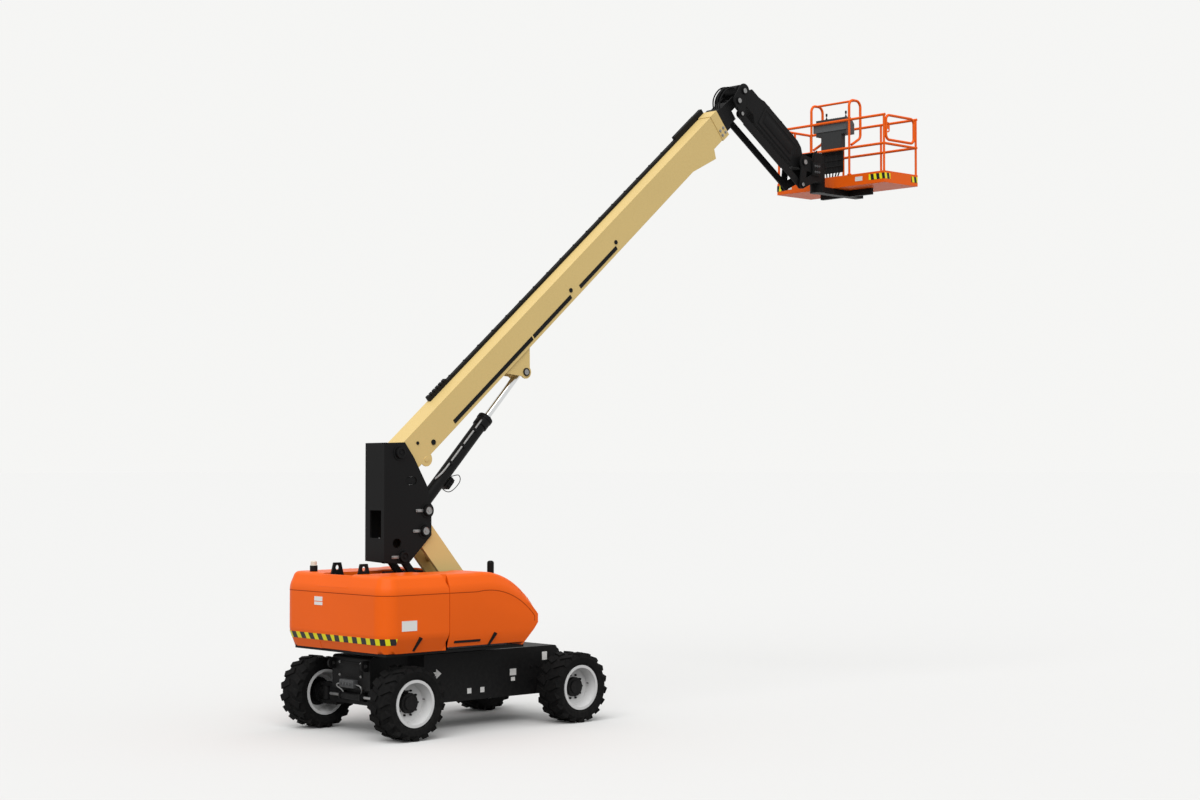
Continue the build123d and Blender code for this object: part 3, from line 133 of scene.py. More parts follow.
world = bpy.data.worlds.new("studio")
world.use_nodes = True
bpy.context.scene.world = world
tree = world.node_tree
tree.nodes.clear()
sky = add_node(tree, "ShaderNodeBackground", inputs={"Color": (1, 1, 1, 1), "Strength": SKY_LEVEL})
seen = add_node(tree, "ShaderNodeBackground", inputs={"Color": BACKDROP, "Strength": 1.0})
choice = add_node(tree, "ShaderNodeMixShader")
out = add_node(tree, "ShaderNodeOutputWorld")
for start, end in (
    (seen_directly(tree), choice.inputs["Fac"]),
    (sky.outputs[0], choice.inputs[1]),
    (seen.outputs[0], choice.inputs[2]),
    (choice.outputs[0], out.inputs["Surface"]),
):
    tree.links.new(start, end)

bpy.ops.object.light_add(type="SUN", location=(0, 0, 20))
sun = bpy.context.object
sun.rotation_euler = SUN_FROM.to_track_quat("Z", "Y").to_euler()
sun.data.energy = SUN_LEVEL
sun.data.angle = math.radians(SUN_SPREAD)

bpy.ops.mesh.primitive_plane_add(size=FLOOR_SIZE, location=(0, 0, -FLOOR_DROP))
floor = bpy.context.object
floor.name = "studio_floor"
floor_finish = bpy.data.materials.new("studio_floor")
floor_finish.use_nodes = True
floor_tree = floor_finish.node_tree
floor_shader = floor_tree.nodes["Principled BSDF"]
floor_shader.inputs["Roughness"].default_value = 1.0
floor_shader.inputs["Specular IOR Level"].default_value = 0.0
floor_tone = add_node(floor_tree, "ShaderNodeMix", data_type="RGBA")
floor_tone.inputs[6].default_value = FLOOR_BOUNCE
floor_tone.inputs[7].default_value = FLOOR_SEEN
floor_tree.links.new(seen_directly(floor_tree), floor_tone.inputs[0])
floor_tree.links.new(floor_tone.outputs[2], floor_shader.inputs["Base Color"])
floor.data.materials.append(floor_finish)
bpy.context.scene.view_settings.view_transform = "Standard"
print("floor", FLOOR_SIZE, "m wide, sun", SUN_LEVEL, "sky", SKY_LEVEL)

# %% [markdown]
# ## The paint film
# Sprayed paint is never one flat colour: it drifts a little in tone, its skin has the fine bumps that
# painters call orange peel, and dust settles on it near the ground. One node group makes all three from
# Object coordinates, and each paint on the machine uses it with its own numbers.

# %% Node group for paint, plastic and rubber
NOISE_BROAD = 0.9
NOISE_SPECK = 16.0
DUST_FROM = 1.7
DUST_FULL = 0.05
DUST_COLOUR = (0.20, 0.185, 0.165, 1)


def new_group(name, inputs, outputs):
    """An empty shader node group with named sockets."""
    group = bpy.data.node_groups.new(name, "ShaderNodeTree")
    for label, kind, value in inputs:
        group.interface.new_socket(label, in_out="INPUT", socket_type=kind).default_value = value
    for label, kind in outputs:
        group.interface.new_socket(label, in_out="OUTPUT", socket_type=kind)
    return group, group.nodes.new("NodeGroupInput"), group.nodes.new("NodeGroupOutput")


film, given, result = new_group(
    "worked_surface",
    [
        ("Colour", "NodeSocketColor", (0.5, 0.5, 0.5, 1)),
        ("Tone", "NodeSocketFloat", 0.06),
        ("Roughness", "NodeSocketFloat", 0.4),
        ("Dust", "NodeSocketFloat", 0.3),
        ("Grain", "NodeSocketFloat", 300.0),
    ],
    [("Colour", "NodeSocketColor"), ("Roughness", "NodeSocketFloat"), ("Height", "NodeSocketFloat")],
)
place = add_node(film, "ShaderNodeTexCoord")
broad = add_node(film, "ShaderNodeTexNoise", inputs={"Scale": NOISE_BROAD, "Detail": 4.0})
speck = add_node(film, "ShaderNodeTexNoise", inputs={"Scale": NOISE_SPECK, "Detail": 6.0, "Roughness": 0.7})
grain = add_node(film, "ShaderNodeTexNoise", inputs={"Detail": 2.0})
swing = add_node(film, "ShaderNodeMath", operation="SUBTRACT", inputs={1: 0.5})
tone = add_node(film, "ShaderNodeMath", operation="MULTIPLY")
value = add_node(film, "ShaderNodeMath", operation="MULTIPLY_ADD", inputs={1: 2.0, 2: 1.0})
drift = add_node(film, "ShaderNodeHueSaturation")
split = add_node(film, "ShaderNodeSeparateXYZ")
low = add_node(film, "ShaderNodeMapRange", inputs={1: DUST_FROM, 2: DUST_FULL, 3: 0.08, 4: 1.0})
spots = add_node(film, "ShaderNodeMapRange", inputs={1: 0.42, 2: 0.78, 3: 0.0, 4: 1.0})
settled = add_node(film, "ShaderNodeMath", operation="MULTIPLY")
dust = add_node(film, "ShaderNodeMath", operation="MULTIPLY", use_clamp=True)
dusty = add_node(film, "ShaderNodeMix", data_type="RGBA")
dusty.inputs[7].default_value = DUST_COLOUR
dull = add_node(film, "ShaderNodeMath", operation="MULTIPLY_ADD", inputs={1: 0.45})
rough = add_node(film, "ShaderNodeMath", operation="MULTIPLY_ADD", inputs={1: 0.08})
for start, end in (
    (place.outputs["Object"], broad.inputs["Vector"]),
    (place.outputs["Object"], speck.inputs["Vector"]),
    (place.outputs["Object"], grain.inputs["Vector"]),
    (place.outputs["Object"], split.inputs[0]),
    (given.outputs["Grain"], grain.inputs["Scale"]),
    (broad.outputs["Fac"], swing.inputs[0]),
    (swing.outputs[0], tone.inputs[0]),
    (given.outputs["Tone"], tone.inputs[1]),
    (tone.outputs[0], value.inputs[0]),
    (given.outputs["Colour"], drift.inputs["Color"]),
    (value.outputs[0], drift.inputs["Value"]),
    (split.outputs["Z"], low.inputs["Value"]),
    (speck.outputs["Fac"], spots.inputs["Value"]),
    (low.outputs[0], settled.inputs[0]),
    (spots.outputs[0], settled.inputs[1]),
    (settled.outputs[0], dust.inputs[0]),
    (given.outputs["Dust"], dust.inputs[1]),
    (dust.outputs[0], dusty.inputs[0]),
    (drift.outputs["Color"], dusty.inputs[6]),
    (dust.outputs[0], dull.inputs[0]),
    (given.outputs["Roughness"], dull.inputs[2]),
    (speck.outputs["Fac"], rough.inputs[0]),
    (dull.outputs[0], rough.inputs[2]),
    (dusty.outputs[2], result.inputs["Colour"]),
    (rough.outputs[0], result.inputs["Roughness"]),
    (grain.outputs["Fac"], result.inputs["Height"]),
):
    film.links.new(start, end)
print("node group", film.name, "with", len(film.nodes), "nodes")

# %% [markdown]
# ## The finishes
# Orange covers, a cream boom, black steel, pale rims and dark rubber make up nearly all that shows. A
# table gives each finish its colour, gloss, tone drift, dust and grain, and one function turns a row
# into a material. The gloss of a clear coat is the same all over, so it is set on the shader itself.

# %% Finishes from a table
FINISHES = {
    # colour, roughness, tone drift, dust, grain scale, grain depth, coat, metallic, specular level
    "orange_paint": ((0.860, 0.122, 0.004), 0.42, 0.06, 0.04, 420, 0.00010, 0.05, 0.0, 0.14),
    # the darker orange below is painted shade, standing for the shade in the creases of the covers
    "painted_crease_shade": ((0.340, 0.040, 0.002), 0.55, 0.06, 0.06, 420, 0.00010, 0.0, 0.0, 0.10),
    "cream_paint": ((0.715, 0.528, 0.214), 0.45, 0.05, 0.04, 420, 0.00010, 0.04, 0.0, 0.14),
    "black_paint": ((0.0066, 0.0066, 0.0069), 0.46, 0.20, 0.06, 500, 0.00015, 0.0, 0.0, 0.10),
    "rubber": ((0.0066, 0.0066, 0.0067), 0.82, 0.25, 0.06, 380, 0.00060, 0.0, 0.0, 0.07),
    "rim_paint": ((0.600, 0.600, 0.596), 0.42, 0.05, 0.05, 450, 0.00012, 0.05, 0.0, 0.25),
    "chrome": ((0.700, 0.710, 0.720), 0.14, 0.04, 0.02, 900, 0.00002, 0.0, 1.0, 0.50),
    "zinc": ((0.300, 0.300, 0.298), 0.42, 0.12, 0.06, 700, 0.00006, 0.0, 0.85, 0.50),
    "cast_grey": ((0.085, 0.087, 0.090), 0.55, 0.20, 0.20, 260, 0.00060, 0.0, 0.3, 0.40),
    "black_plastic": ((0.0085, 0.0085, 0.0088), 0.55, 0.15, 0.05, 650, 0.00020, 0.0, 0.0, 0.11),
    "dark_plastic": ((0.0360, 0.0375, 0.0385), 0.52, 0.10, 0.04, 650, 0.00020, 0.0, 0.0, 0.18),
    "grey_plastic": ((0.0880, 0.0940, 0.0980), 0.50, 0.10, 0.04, 650, 0.00020, 0.0, 0.0, 0.30),
    "plate_white": ((0.760, 0.755, 0.735), 0.45, 0.03, 0.05, 500, 0.00004, 0.0, 0.0, 0.30),
    "pale_lens": ((0.700, 0.640, 0.540), 0.20, 0.05, 0.04, 300, 0.00006, 0.30, 0.0, 0.40),
    "hose_rubber": ((0.0075, 0.0075, 0.0078), 0.58, 0.15, 0.04, 600, 0.00020, 0.0, 0.0, 0.10),
    "stop_red": ((0.600, 0.020, 0.016), 0.38, 0.05, 0.03, 500, 0.00008, 0.10, 0.0, 0.35),
    "tread_steel": ((0.180, 0.180, 0.180), 0.50, 0.15, 0.20, 500, 0.00010, 0.0, 0.6, 0.40),
}


def surface(name, film_values, gloss):
    """A material whose colour, roughness and bump come from the worked surface group."""
    colour, roughness, tone_drift, dust_amount, grain_scale, depth = film_values
    coat, metallic, specular = gloss
    material = bpy.data.materials.new(name)
    material.use_nodes = True
    nodes = material.node_tree
    shader = nodes.nodes["Principled BSDF"]
    skin = add_node(nodes, "ShaderNodeGroup", node_tree=film)
    skin.inputs["Colour"].default_value = (*colour, 1)
    skin.inputs["Roughness"].default_value = roughness
    skin.inputs["Tone"].default_value = tone_drift
    skin.inputs["Dust"].default_value = dust_amount
    skin.inputs["Grain"].default_value = grain_scale
    bump = add_node(nodes, "ShaderNodeBump", inputs={"Strength": 1.0, "Distance": depth})
    shader.inputs["Coat Weight"].default_value = coat
    shader.inputs["Coat Roughness"].default_value = 0.06
    shader.inputs["Metallic"].default_value = metallic
    shader.inputs["Specular IOR Level"].default_value = specular
    nodes.links.new(skin.outputs["Colour"], shader.inputs["Base Color"])
    nodes.links.new(skin.outputs["Roughness"], shader.inputs["Roughness"])
    nodes.links.new(skin.outputs["Height"], bump.inputs["Height"])
    nodes.links.new(bump.outputs["Normal"], shader.inputs["Normal"])
    return material


finish = {name: surface(name, row[:6], row[6:]) for name, row in FINISHES.items()}
print(len(finish), "finishes:", ", ".join(finish))

# %% [markdown]
# ## Black and yellow tape
# The tail and the corners of the platform carry marking tape in upright blocks of black and yellow. The
# blocks follow X plus the size of Y, which grows along both faces of a corner, so one pattern runs round
# it without a seam. A little of Z gives the blocks their slant.

# %% Marking tape
TAPE_PITCH = 0.205
TAPE_YELLOW_SHARE = 0.46
TAPE_SLANT = 0.18
TAPE_YELLOW = (0.90, 0.82, 0.012, 1)
TAPE_BLACK = (0.010, 0.010, 0.010, 1)


def tape_finish(name, pitch):
    """The worked surface, with its colour switched between black and yellow along the tape."""
    material = surface(name, ((0, 0, 0), 0.42, 0.05, 0.05, 500, 0.00004), (0.0, 0.0, 0.30))
    nodes = material.node_tree
    skin = next(node for node in nodes.nodes if node.type == "GROUP")
    where = add_node(nodes, "ShaderNodeTexCoord")
    axes = add_node(nodes, "ShaderNodeSeparateXYZ")
    across = add_node(nodes, "ShaderNodeMath", operation="ABSOLUTE")
    run = add_node(nodes, "ShaderNodeMath", operation="ADD")
    slanted = add_node(nodes, "ShaderNodeMath", operation="MULTIPLY_ADD", inputs={1: TAPE_SLANT})
    blocks = add_node(nodes, "ShaderNodeMath", operation="DIVIDE", inputs={1: pitch})
    part = add_node(nodes, "ShaderNodeMath", operation="FRACT")
    yellow = add_node(nodes, "ShaderNodeMath", operation="LESS_THAN", inputs={1: TAPE_YELLOW_SHARE})
    pick_colour = add_node(nodes, "ShaderNodeMix", data_type="RGBA")
    pick_colour.inputs[6].default_value = TAPE_BLACK
    pick_colour.inputs[7].default_value = TAPE_YELLOW
    for start, end in (
        (where.outputs["Object"], axes.inputs[0]),
        (axes.outputs["Y"], across.inputs[0]),
        (axes.outputs["X"], run.inputs[0]),
        (across.outputs[0], run.inputs[1]),
        (axes.outputs["Z"], slanted.inputs[0]),
        (run.outputs[0], slanted.inputs[2]),
        (slanted.outputs[0], blocks.inputs[0]),
        (blocks.outputs[0], part.inputs[0]),
        (part.outputs[0], yellow.inputs[0]),
        (yellow.outputs[0], pick_colour.inputs[0]),
        (pick_colour.outputs[2], skin.inputs["Colour"]),
    ):
        nodes.links.new(start, end)
    return material


finish["tail_tape"] = tape_finish("tail_tape", TAPE_PITCH)
finish["platform_tape"] = tape_finish("platform_tape", TAPE_PITCH * 0.6)
print("tape with blocks every", TAPE_PITCH, "m")

# %% [markdown]
# ## Working by hand, in code
# Every new piece below starts as a primitive and is shaped by the operators that a hand would use. These
# few helpers keep the selection clean, apply modifiers, put a piece's place into its mesh, and hang a
# finished piece on the body that carries it.

# %% Helpers for modelling
SMOOTH_ANGLE = 38.0
HAIR_ROUND = 0.002
FINE_ROUND = 0.003
PLAIN_ROUND = 0.004
FULL_ROUND = 0.005
BOLD_ROUND = 0.006


def clear_selection():
    if bpy.context.object and bpy.context.object.mode != "OBJECT":
        bpy.ops.object.mode_set(mode="OBJECT")
    bpy.ops.object.select_all(action="DESELECT")


def pick(*pieces):
    """Selects only these pieces, the first of them active."""
    clear_selection()
    for piece in pieces:
        piece.select_set(True)
    bpy.context.view_layer.objects.active = pieces[0]


def work(piece, kind, **settings):
    """Adds a modifier and applies it."""
    pick(piece)
    modifier = piece.modifiers.new(kind.lower(), kind)
    for label, setting in settings.items():
        setattr(modifier, label, setting)
    bpy.ops.object.modifier_apply(modifier=modifier.name)


def round_edges(piece, width, segments=2, angle=32.0):
    """Bevels every edge that is sharper than an angle."""
    work(
        piece, "BEVEL", width=width, segments=segments,
        limit_method="ANGLE", angle_limit=math.radians(angle),
    )


def settle(piece, stand=None):
    """Puts the piece's place into its mesh, standing it in another frame first if one is given."""
    if stand is not None:
        bpy.context.view_layer.update()
        piece.matrix_world = stand @ piece.matrix_world
    pick(piece)
    bpy.ops.object.transform_apply(location=True, rotation=True, scale=True)


def joined(pieces, name):
    """One piece made of several."""
    pick(*pieces)
    if len(pieces) > 1:
        bpy.ops.object.join()
    pieces[0].name = name
    return pieces[0]


def fit(piece, name, look, body):
    """Names and finishes a piece and hangs it on its body."""
    piece.name = name
    piece.data.name = name
    piece.data.materials.clear()
    piece.data.materials.append(finish[look])
    pick(piece)
    bpy.ops.object.shade_smooth_by_angle(angle=math.radians(SMOOTH_ANGLE))
    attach(piece, body)
    return piece


def repeated(piece, places):
    """Copies of a modelled piece at several places, as one mesh. The first piece is used up."""
    copies = []
    for where in places:
        copy = bpy.data.objects.new(piece.name, piece.data.copy())
        bpy.context.scene.collection.objects.link(copy)
        copy.matrix_world = where
        settle(copy)
        copies.append(copy)
    bpy.data.objects.remove(piece)
    return joined(copies, "copies")


def at(x, y, z):
    return Matrix.Translation((x, y, z))


print("helpers ready")

# %% [markdown]
# ## Softened solids
# A folded plate or a moulded cover always has a small round at its edges, and that round is what catches
# the light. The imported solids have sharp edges, so each is copied, its loose triangles are merged, flat
# faces are made whole, and a narrow bevel goes along every real edge. The covers are moulded, so a broad
# round rolls over their upper edges first. The copy then stands for the solid.

# %% Softened copies of the solids
LOOK_OF_SLOT = {
    "orange_paint": "orange_paint", "ballast": "orange_paint", "cover": "orange_paint",
    "orange_alloy": "orange_paint", "cream_paint": "cream_paint", "black_paint": "black_paint",
    "tyre": "rubber", "rim": "rim_paint", "chrome": "chrome", "engine": "cast_grey",
    "plastic": "black_plastic", "grey_plastic": "grey_plastic", "lens": "pale_lens",
}
EDGE_OF_SLOT = {"cover": 0.010, "ballast": 0.014, "tyre": 0.008, "black_paint": 0.004, "orange_alloy": 0.003}
EDGE_PLAIN = 0.004
ROUND_OF_SLOT = {"cover": (0.055, 1.80), "ballast": (0.050, 0.0)}
ROUND_BENDS = (9.0, 70.0)
ROUND_STEPS = 5
MERGE = 0.0002
FLAT = 2.0


def round_moulding(piece, width, floor):
    """Rolls over the outward edges of a cover above a height, where faces meet at a middling angle."""
    least, most = (math.radians(bend) for bend in ROUND_BENDS)
    bpy.ops.mesh.select_mode(type="EDGE")
    bpy.ops.mesh.select_all(action="DESELECT")
    form = bmesh.from_edit_mesh(piece.data)
    for edge in form.edges:
        high = min(corner.co.z for corner in edge.verts) > floor
        edge.select_set(high and least < edge.calc_face_angle_signed(0.0) < most)
    bmesh.update_edit_mesh(piece.data)
    bpy.ops.mesh.bevel(offset=width, segments=ROUND_STEPS, clamp_overlap=False)


def merged_copy(node, name):
    """A copy of a solid with its loose triangles merged, left open in edit mode with all selected."""
    piece = bpy.data.objects.new(name, frame["nodes"][node].data.copy())
    bpy.context.scene.collection.objects.link(piece)
    pick(piece)
    bpy.ops.mesh.customdata_custom_splitnormals_clear()
    bpy.ops.object.mode_set(mode="EDIT")
    bpy.ops.mesh.select_all(action="SELECT")
    bpy.ops.mesh.remove_doubles(threshold=MERGE)
    return piece


def softened(node):
    """A copy of a solid with rounded edges, which stands for it."""
    slot = slot_of[node]
    piece = merged_copy(node, node + "_soft")
    bpy.ops.mesh.dissolve_limited(angle_limit=math.radians(FLAT))
    if slot in ROUND_OF_SLOT:
        round_moulding(piece, *ROUND_OF_SLOT[slot])
    bpy.ops.object.mode_set(mode="OBJECT")
    round_edges(piece, EDGE_OF_SLOT.get(slot, EDGE_PLAIN))
    fit(piece, node + "_soft", LOOK_OF_SLOT[slot], body_of[node])
    work(piece, "WEIGHTED_NORMAL", keep_sharp=True)
    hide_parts(node)
    return piece


soft = {node: softened(node) for node in frame["nodes"]}
print(len(soft), "softened solids,", sum(len(piece.data.polygons) for piece in soft.values()), "faces")

# %% [markdown]
# ## Frames of the leaning arms
# The boom, its lift cylinder and the jib all lean, and their fittings are easiest to place along and
# square to them. Each arm gets a frame at its own pin: X along the arm, Y across the machine, Z off its
# top. The two side frames turn a piece that stands on the floor so that it stands on a side wall.

# %% Frames and first shapes
def leaning(pin, run):
    """A frame at a pin, with X along a leaning arm and Z square to it."""
    return Matrix.Translation(pin) @ Matrix.Rotation(-math.atan2(run.z, run.x), 4, "Y")


boom_frame = leaning(joint_at["boom_lift"], slide_along["telescope"])
lift_frame = leaning(joint_at["lift_barrel_turn"], slide_along["lift_rod_slide"])
jib_frame = leaning(joint_at["jib_lift"], joint_at["jib_end_level"] - joint_at["jib_lift"])
RIGHT_WALL = Matrix.Rotation(math.radians(90), 4, "X")
LEFT_WALL = Matrix.Rotation(math.radians(-90), 4, "X")
REAR_WALL = Matrix.Rotation(math.radians(-90), 4, "Y")
WALL_OF_SIDE = {-1: RIGHT_WALL, 1: LEFT_WALL}
SIDES = ((-1, "right"), (1, "left"))
LOOKS_ALONG = 0.9


def block(low, high):
    """A cube stretched between two corners."""
    clear_selection()
    bpy.ops.mesh.primitive_cube_add(size=1.0)
    piece = bpy.context.object
    piece.location = (Vector(low) + Vector(high)) / 2
    piece.scale = Vector(high) - Vector(low)
    settle(piece)
    return piece


def drum(radius, height, sides=36):
    """A cylinder that stands on the origin along Z."""
    clear_selection()
    bpy.ops.mesh.primitive_cylinder_add(radius=radius, depth=height, vertices=sides)
    piece = bpy.context.object
    piece.location.z = height / 2
    settle(piece)
    return piece


def open_faces(piece, rule):
    """Opens the piece in edit mode with only the faces that the rule takes selected."""
    pick(piece)
    bpy.ops.object.mode_set(mode="EDIT")
    bpy.ops.mesh.select_mode(type="FACE")
    bpy.ops.mesh.select_all(action="DESELECT")
    bpy.ops.object.mode_set(mode="OBJECT")
    for face in piece.data.polygons:
        face.select = rule(face)
    bpy.ops.object.mode_set(mode="EDIT")


def inset(thickness):
    """Draws the selected faces in from their rim."""
    bpy.ops.mesh.inset(thickness=thickness)


def push(offset):
    """Extrudes the selected faces by an offset."""
    bpy.ops.mesh.extrude_region_move(TRANSFORM_OT_translate={"value": offset})


def shift(offset):
    """Moves the selected faces."""
    bpy.ops.transform.translate(value=offset)


def stretch(factors):
    """Scales the selected faces about their middle."""
    bpy.ops.transform.resize(value=factors)


def shape(piece, rule, *steps):
    """Takes the faces that the rule picks through steps, each an operator above and its value."""
    open_faces(piece, rule)
    for operator, value in steps:
        operator(value)
    bpy.ops.object.mode_set(mode="OBJECT")


def row_of(piece, count, step):
    """Repeats a piece along a step with an Array modifier."""
    work(piece, "ARRAY", count=count, use_relative_offset=False, use_constant_offset=True,
         constant_offset_displace=step)


def made_whole(piece):
    """Turns all faces of a mirrored piece outwards again."""
    open_faces(piece, lambda face: True)
    bpy.ops.mesh.normals_make_consistent(inside=False)
    bpy.ops.object.mode_set(mode="OBJECT")


def facing(*way):
    """A rule that takes the faces which look one way."""
    return lambda face: face.normal.dot(Vector(way)) > LOOKS_ALONG


top_face = facing(0, 0, 1)


def repaint(piece, look, rule):
    """Gives the faces that the rule takes another finish."""
    piece.data.materials.append(finish[look])
    for face in piece.data.polygons:
        if rule(face):
            face.material_index = len(piece.data.materials) - 1


print("boom leans", round(math.degrees(math.asin(slide_along["telescope"].z)), 1), "degrees")

# %% [markdown]
# ## Pins and bolts
# A boom lift turns on thick greased pins. Each pin has a plain round head with a grease hole, and a small
# keeper plate beside it, bolted on, that stops it turning. One head, one bolt and one keeper are modelled
# from a cylinder and a cube, and copies go wherever a pin comes out of a plate.

# %% Pin heads, bolts and keepers
CAP_RIM = 0.30
CAP_DISH = 0.30
CAP_HUB = 0.45
CAP_RISE = 0.8
CAP_ROUND = 0.045
HEX_CORNER = 0.577
HEX_HIGH = 0.62
HEX_CHAMFER = (0.09, 0.05)
WASHER = (0.85, 0.16)
COLLAR_IN = 0.72
KEEPER_SIZE = (0.130, 0.042, 0.012)
KEEPER_OUT = 0.118
KEEPER_GAP = 0.030
KEEPER_BOLT = (0.026, 0.30)


def pin_head(radius, height):
    """A round head with a dished face and a grease fitting in its middle."""
    head = drum(radius, height)
    shape(
        head, top_face,
        (inset, radius * CAP_RIM), (push, (0, 0, -height * CAP_DISH)),
        (inset, radius * CAP_HUB), (push, (0, 0, height * CAP_DISH * CAP_RISE)),
    )
    round_edges(head, radius * CAP_ROUND)
    return head


def bolt_head(across):
    """A hexagon bolt head on its washer."""
    head = drum(across * HEX_CORNER, across * HEX_HIGH, 6)
    shape(head, top_face, (inset, across * HEX_CHAMFER[0]), (shift, (0, 0, across * HEX_CHAMFER[1])))
    washer = drum(across * WASHER[0], across * WASHER[1], 18)
    return joined([head, washer], "bolt")


def keeper_plate():
    """A rounded plate that reaches away from a pin along X, with a bolt at its end."""
    length, width, thick = KEEPER_SIZE
    plate = block((-length / 2, -width / 2, 0), (length / 2, width / 2, thick))
    round_edges(plate, PLAIN_ROUND)
    bolt = bolt_head(KEEPER_BOLT[0])
    settle(bolt, at(length * KEEPER_BOLT[1], 0, thick))
    return joined([plate, bolt], "keeper")


def pin_set(name, places, radius, reach, height, body, look="zinc", slot="chrome"):
    """Pin heads on both side walls, at places given as X and Z, with a painted collar round the pin."""
    spots = [at(x, side * reach, z) @ WALL_OF_SIDE[side] for x, z in places for side in (-1, 1)]
    heads = fit(repeated(pin_head(radius, height), spots), name, look, body)
    mesh = heads.data

    def on_collar(face):
        corners = [mesh.vertices[corner].co for corner in face.vertices]
        return min(
            max(math.hypot(corner.x - x, corner.z - z) for corner in corners) for x, z in places
        ) > radius * COLLAR_IN

    repaint(heads, "black_paint", on_collar)
    return heads


def spot_of(joint):
    return joint_at[joint].x, joint_at[joint].z


UPRIGHT_FACE = 0.2205
HEAD_RADIUS = 0.077
HEAD_HEIGHT = 0.046
LOWER_PIN = (-4.667, 2.450)
UPRIGHT_PINS = {
    # body that the pin turns with: its place and finish
    "base_boom": (spot_of("boom_lift"), "black_paint"),
    "lift_barrel": (spot_of("lift_barrel_turn"), "zinc"),
    "tower_link": (spot_of("upright_level"), "zinc"),
    "timing_link": (LOWER_PIN, "black_paint"),
}
for body, (spot, look) in UPRIGHT_PINS.items():
    pin_set(body + "_pin_heads", [spot], HEAD_RADIUS, UPRIGHT_FACE, HEAD_HEIGHT, body, look)
keeper_spots = []
for spot, look in UPRIGHT_PINS.values():
    if look == "zinc" or spot == LOWER_PIN:
        for side in (-1, 1):
            keeper_spots.append(
                at(spot[0] - KEEPER_OUT - KEEPER_GAP, side * UPRIGHT_FACE, spot[1])
                @ WALL_OF_SIDE[side] @ Matrix.Rotation(math.pi, 4, "Z")
            )
fit(repeated(keeper_plate(), keeper_spots), "upright_keepers", "zinc", "upright")
print(len(keeper_spots), "keepers beside", 2 * len(UPRIGHT_PINS), "pin heads on the upright")

# %% [markdown]
# ## The upright's weld-on parts
# The upright is two thick plates with a web at the back. Rings are welded round its pins, and a long slot
# near the top has a black lining. They break up the large black side as they do on the machine. A lining is
# a drum whose one half is moved along, which gives its outline the slot's two round ends.

# %% Upright bosses and slot linings
BOSS_OUTER = 0.11008
BOSS_INNER = 0.080
BOSS_THICK = 0.010
BOSS_BEAD = 0.35
BOSS_DEEP = 0.6
BOSS_SINK = 0.0008
SLOT_AT = (-4.5324, 3.525)
SLOT_SIZE = (0.095, 0.0535)
SLOT_DEEP = 0.198
SLOT_THICK = 0.012


def ring_boss(outer, inner, thick):
    """A flat welded ring with a bead at its foot."""
    ring = drum(outer, thick, 40)
    shape(
        ring, top_face,
        (inset, (outer - inner) * BOSS_BEAD), (inset, (outer - inner) * (1 - BOSS_BEAD)),
        (push, (0, 0, -thick * BOSS_DEEP)),
    )
    round_edges(ring, HAIR_ROUND)
    return ring


boss_spots = [
    at(x, side * (UPRIGHT_FACE - BOSS_SINK), z) @ WALL_OF_SIDE[side]
    for (x, z), _ in UPRIGHT_PINS.values() for side in (-1, 1)
]
bosses = repeated(ring_boss(BOSS_OUTER, BOSS_INNER, BOSS_THICK), boss_spots)
fit(bosses, "upright_bosses", "black_paint", "upright")
liners = []
for side in (-1, 1):
    liner = drum(SLOT_SIZE[1], SLOT_THICK)
    shape(
        liner, lambda face: face.center.x > 0.001 and abs(face.normal.z) < 0.5,
        (shift, (SLOT_SIZE[0], 0, 0)),
    )
    round_edges(liner, HAIR_ROUND)
    settle(liner, at(SLOT_AT[0] - SLOT_SIZE[0] / 2, side * SLOT_DEEP, SLOT_AT[1]) @ WALL_OF_SIDE[side])
    liners.append(liner)
fit(joined(liners, "liners"), "upright_slot_liners", "black_paint", "upright")
print(len(boss_spots), "bosses on the upright")

# %% [markdown]
# ## Boom side
# Low on each side of the boom runs a row of dark rubbing strips, with round plugs between them where the
# hose guides are bolted. The strips are cubes with an inset channel along the middle. Wear pads at the
# boom's mouth are held by bolts, four to a side.

# %% Strips, plugs and pad bolts on the boom
BOOM_SIDE = 0.180
STRIP_N = -0.318
STRIP_HALF = 0.031
STRIP_THICK = 0.007
STRIPS = ((1.07, 3.05), (3.08, 4.08), (4.32, 5.34))
PLUGS = ((4.134, -0.242, 0.034), (5.379, -0.244, 0.034), (0.588, -0.295, 0.040), (0.36, -0.12, 0.024))
PLUG_HIGH = 0.012
PLUG_SINK = 0.001
STRIP_SINK = 0.0005
STRIP_RIM = 0.35
PAD_BOLT_AT = (8.47, -0.33)
PAD_BOLT_STEP = (0.09, 0.085)
PAD_BOLT_ACROSS = 0.030
COLLAR_STAND = 0.0115
LIFT_EYE = (2.634, 0, -0.640)
EYE_PIN = (0.060, 0.1595, 0.020)


def rub_strip(start, stop):
    """A dark strip along X with a sunk channel, lying on the XY plane."""
    strip = block((start, -STRIP_HALF, 0), (stop, STRIP_HALF, STRIP_THICK))
    shape(strip, top_face, (inset, STRIP_HALF * STRIP_RIM), (push, (0, 0, -STRIP_THICK * 0.5)))
    round_edges(strip, HAIR_ROUND)
    return strip


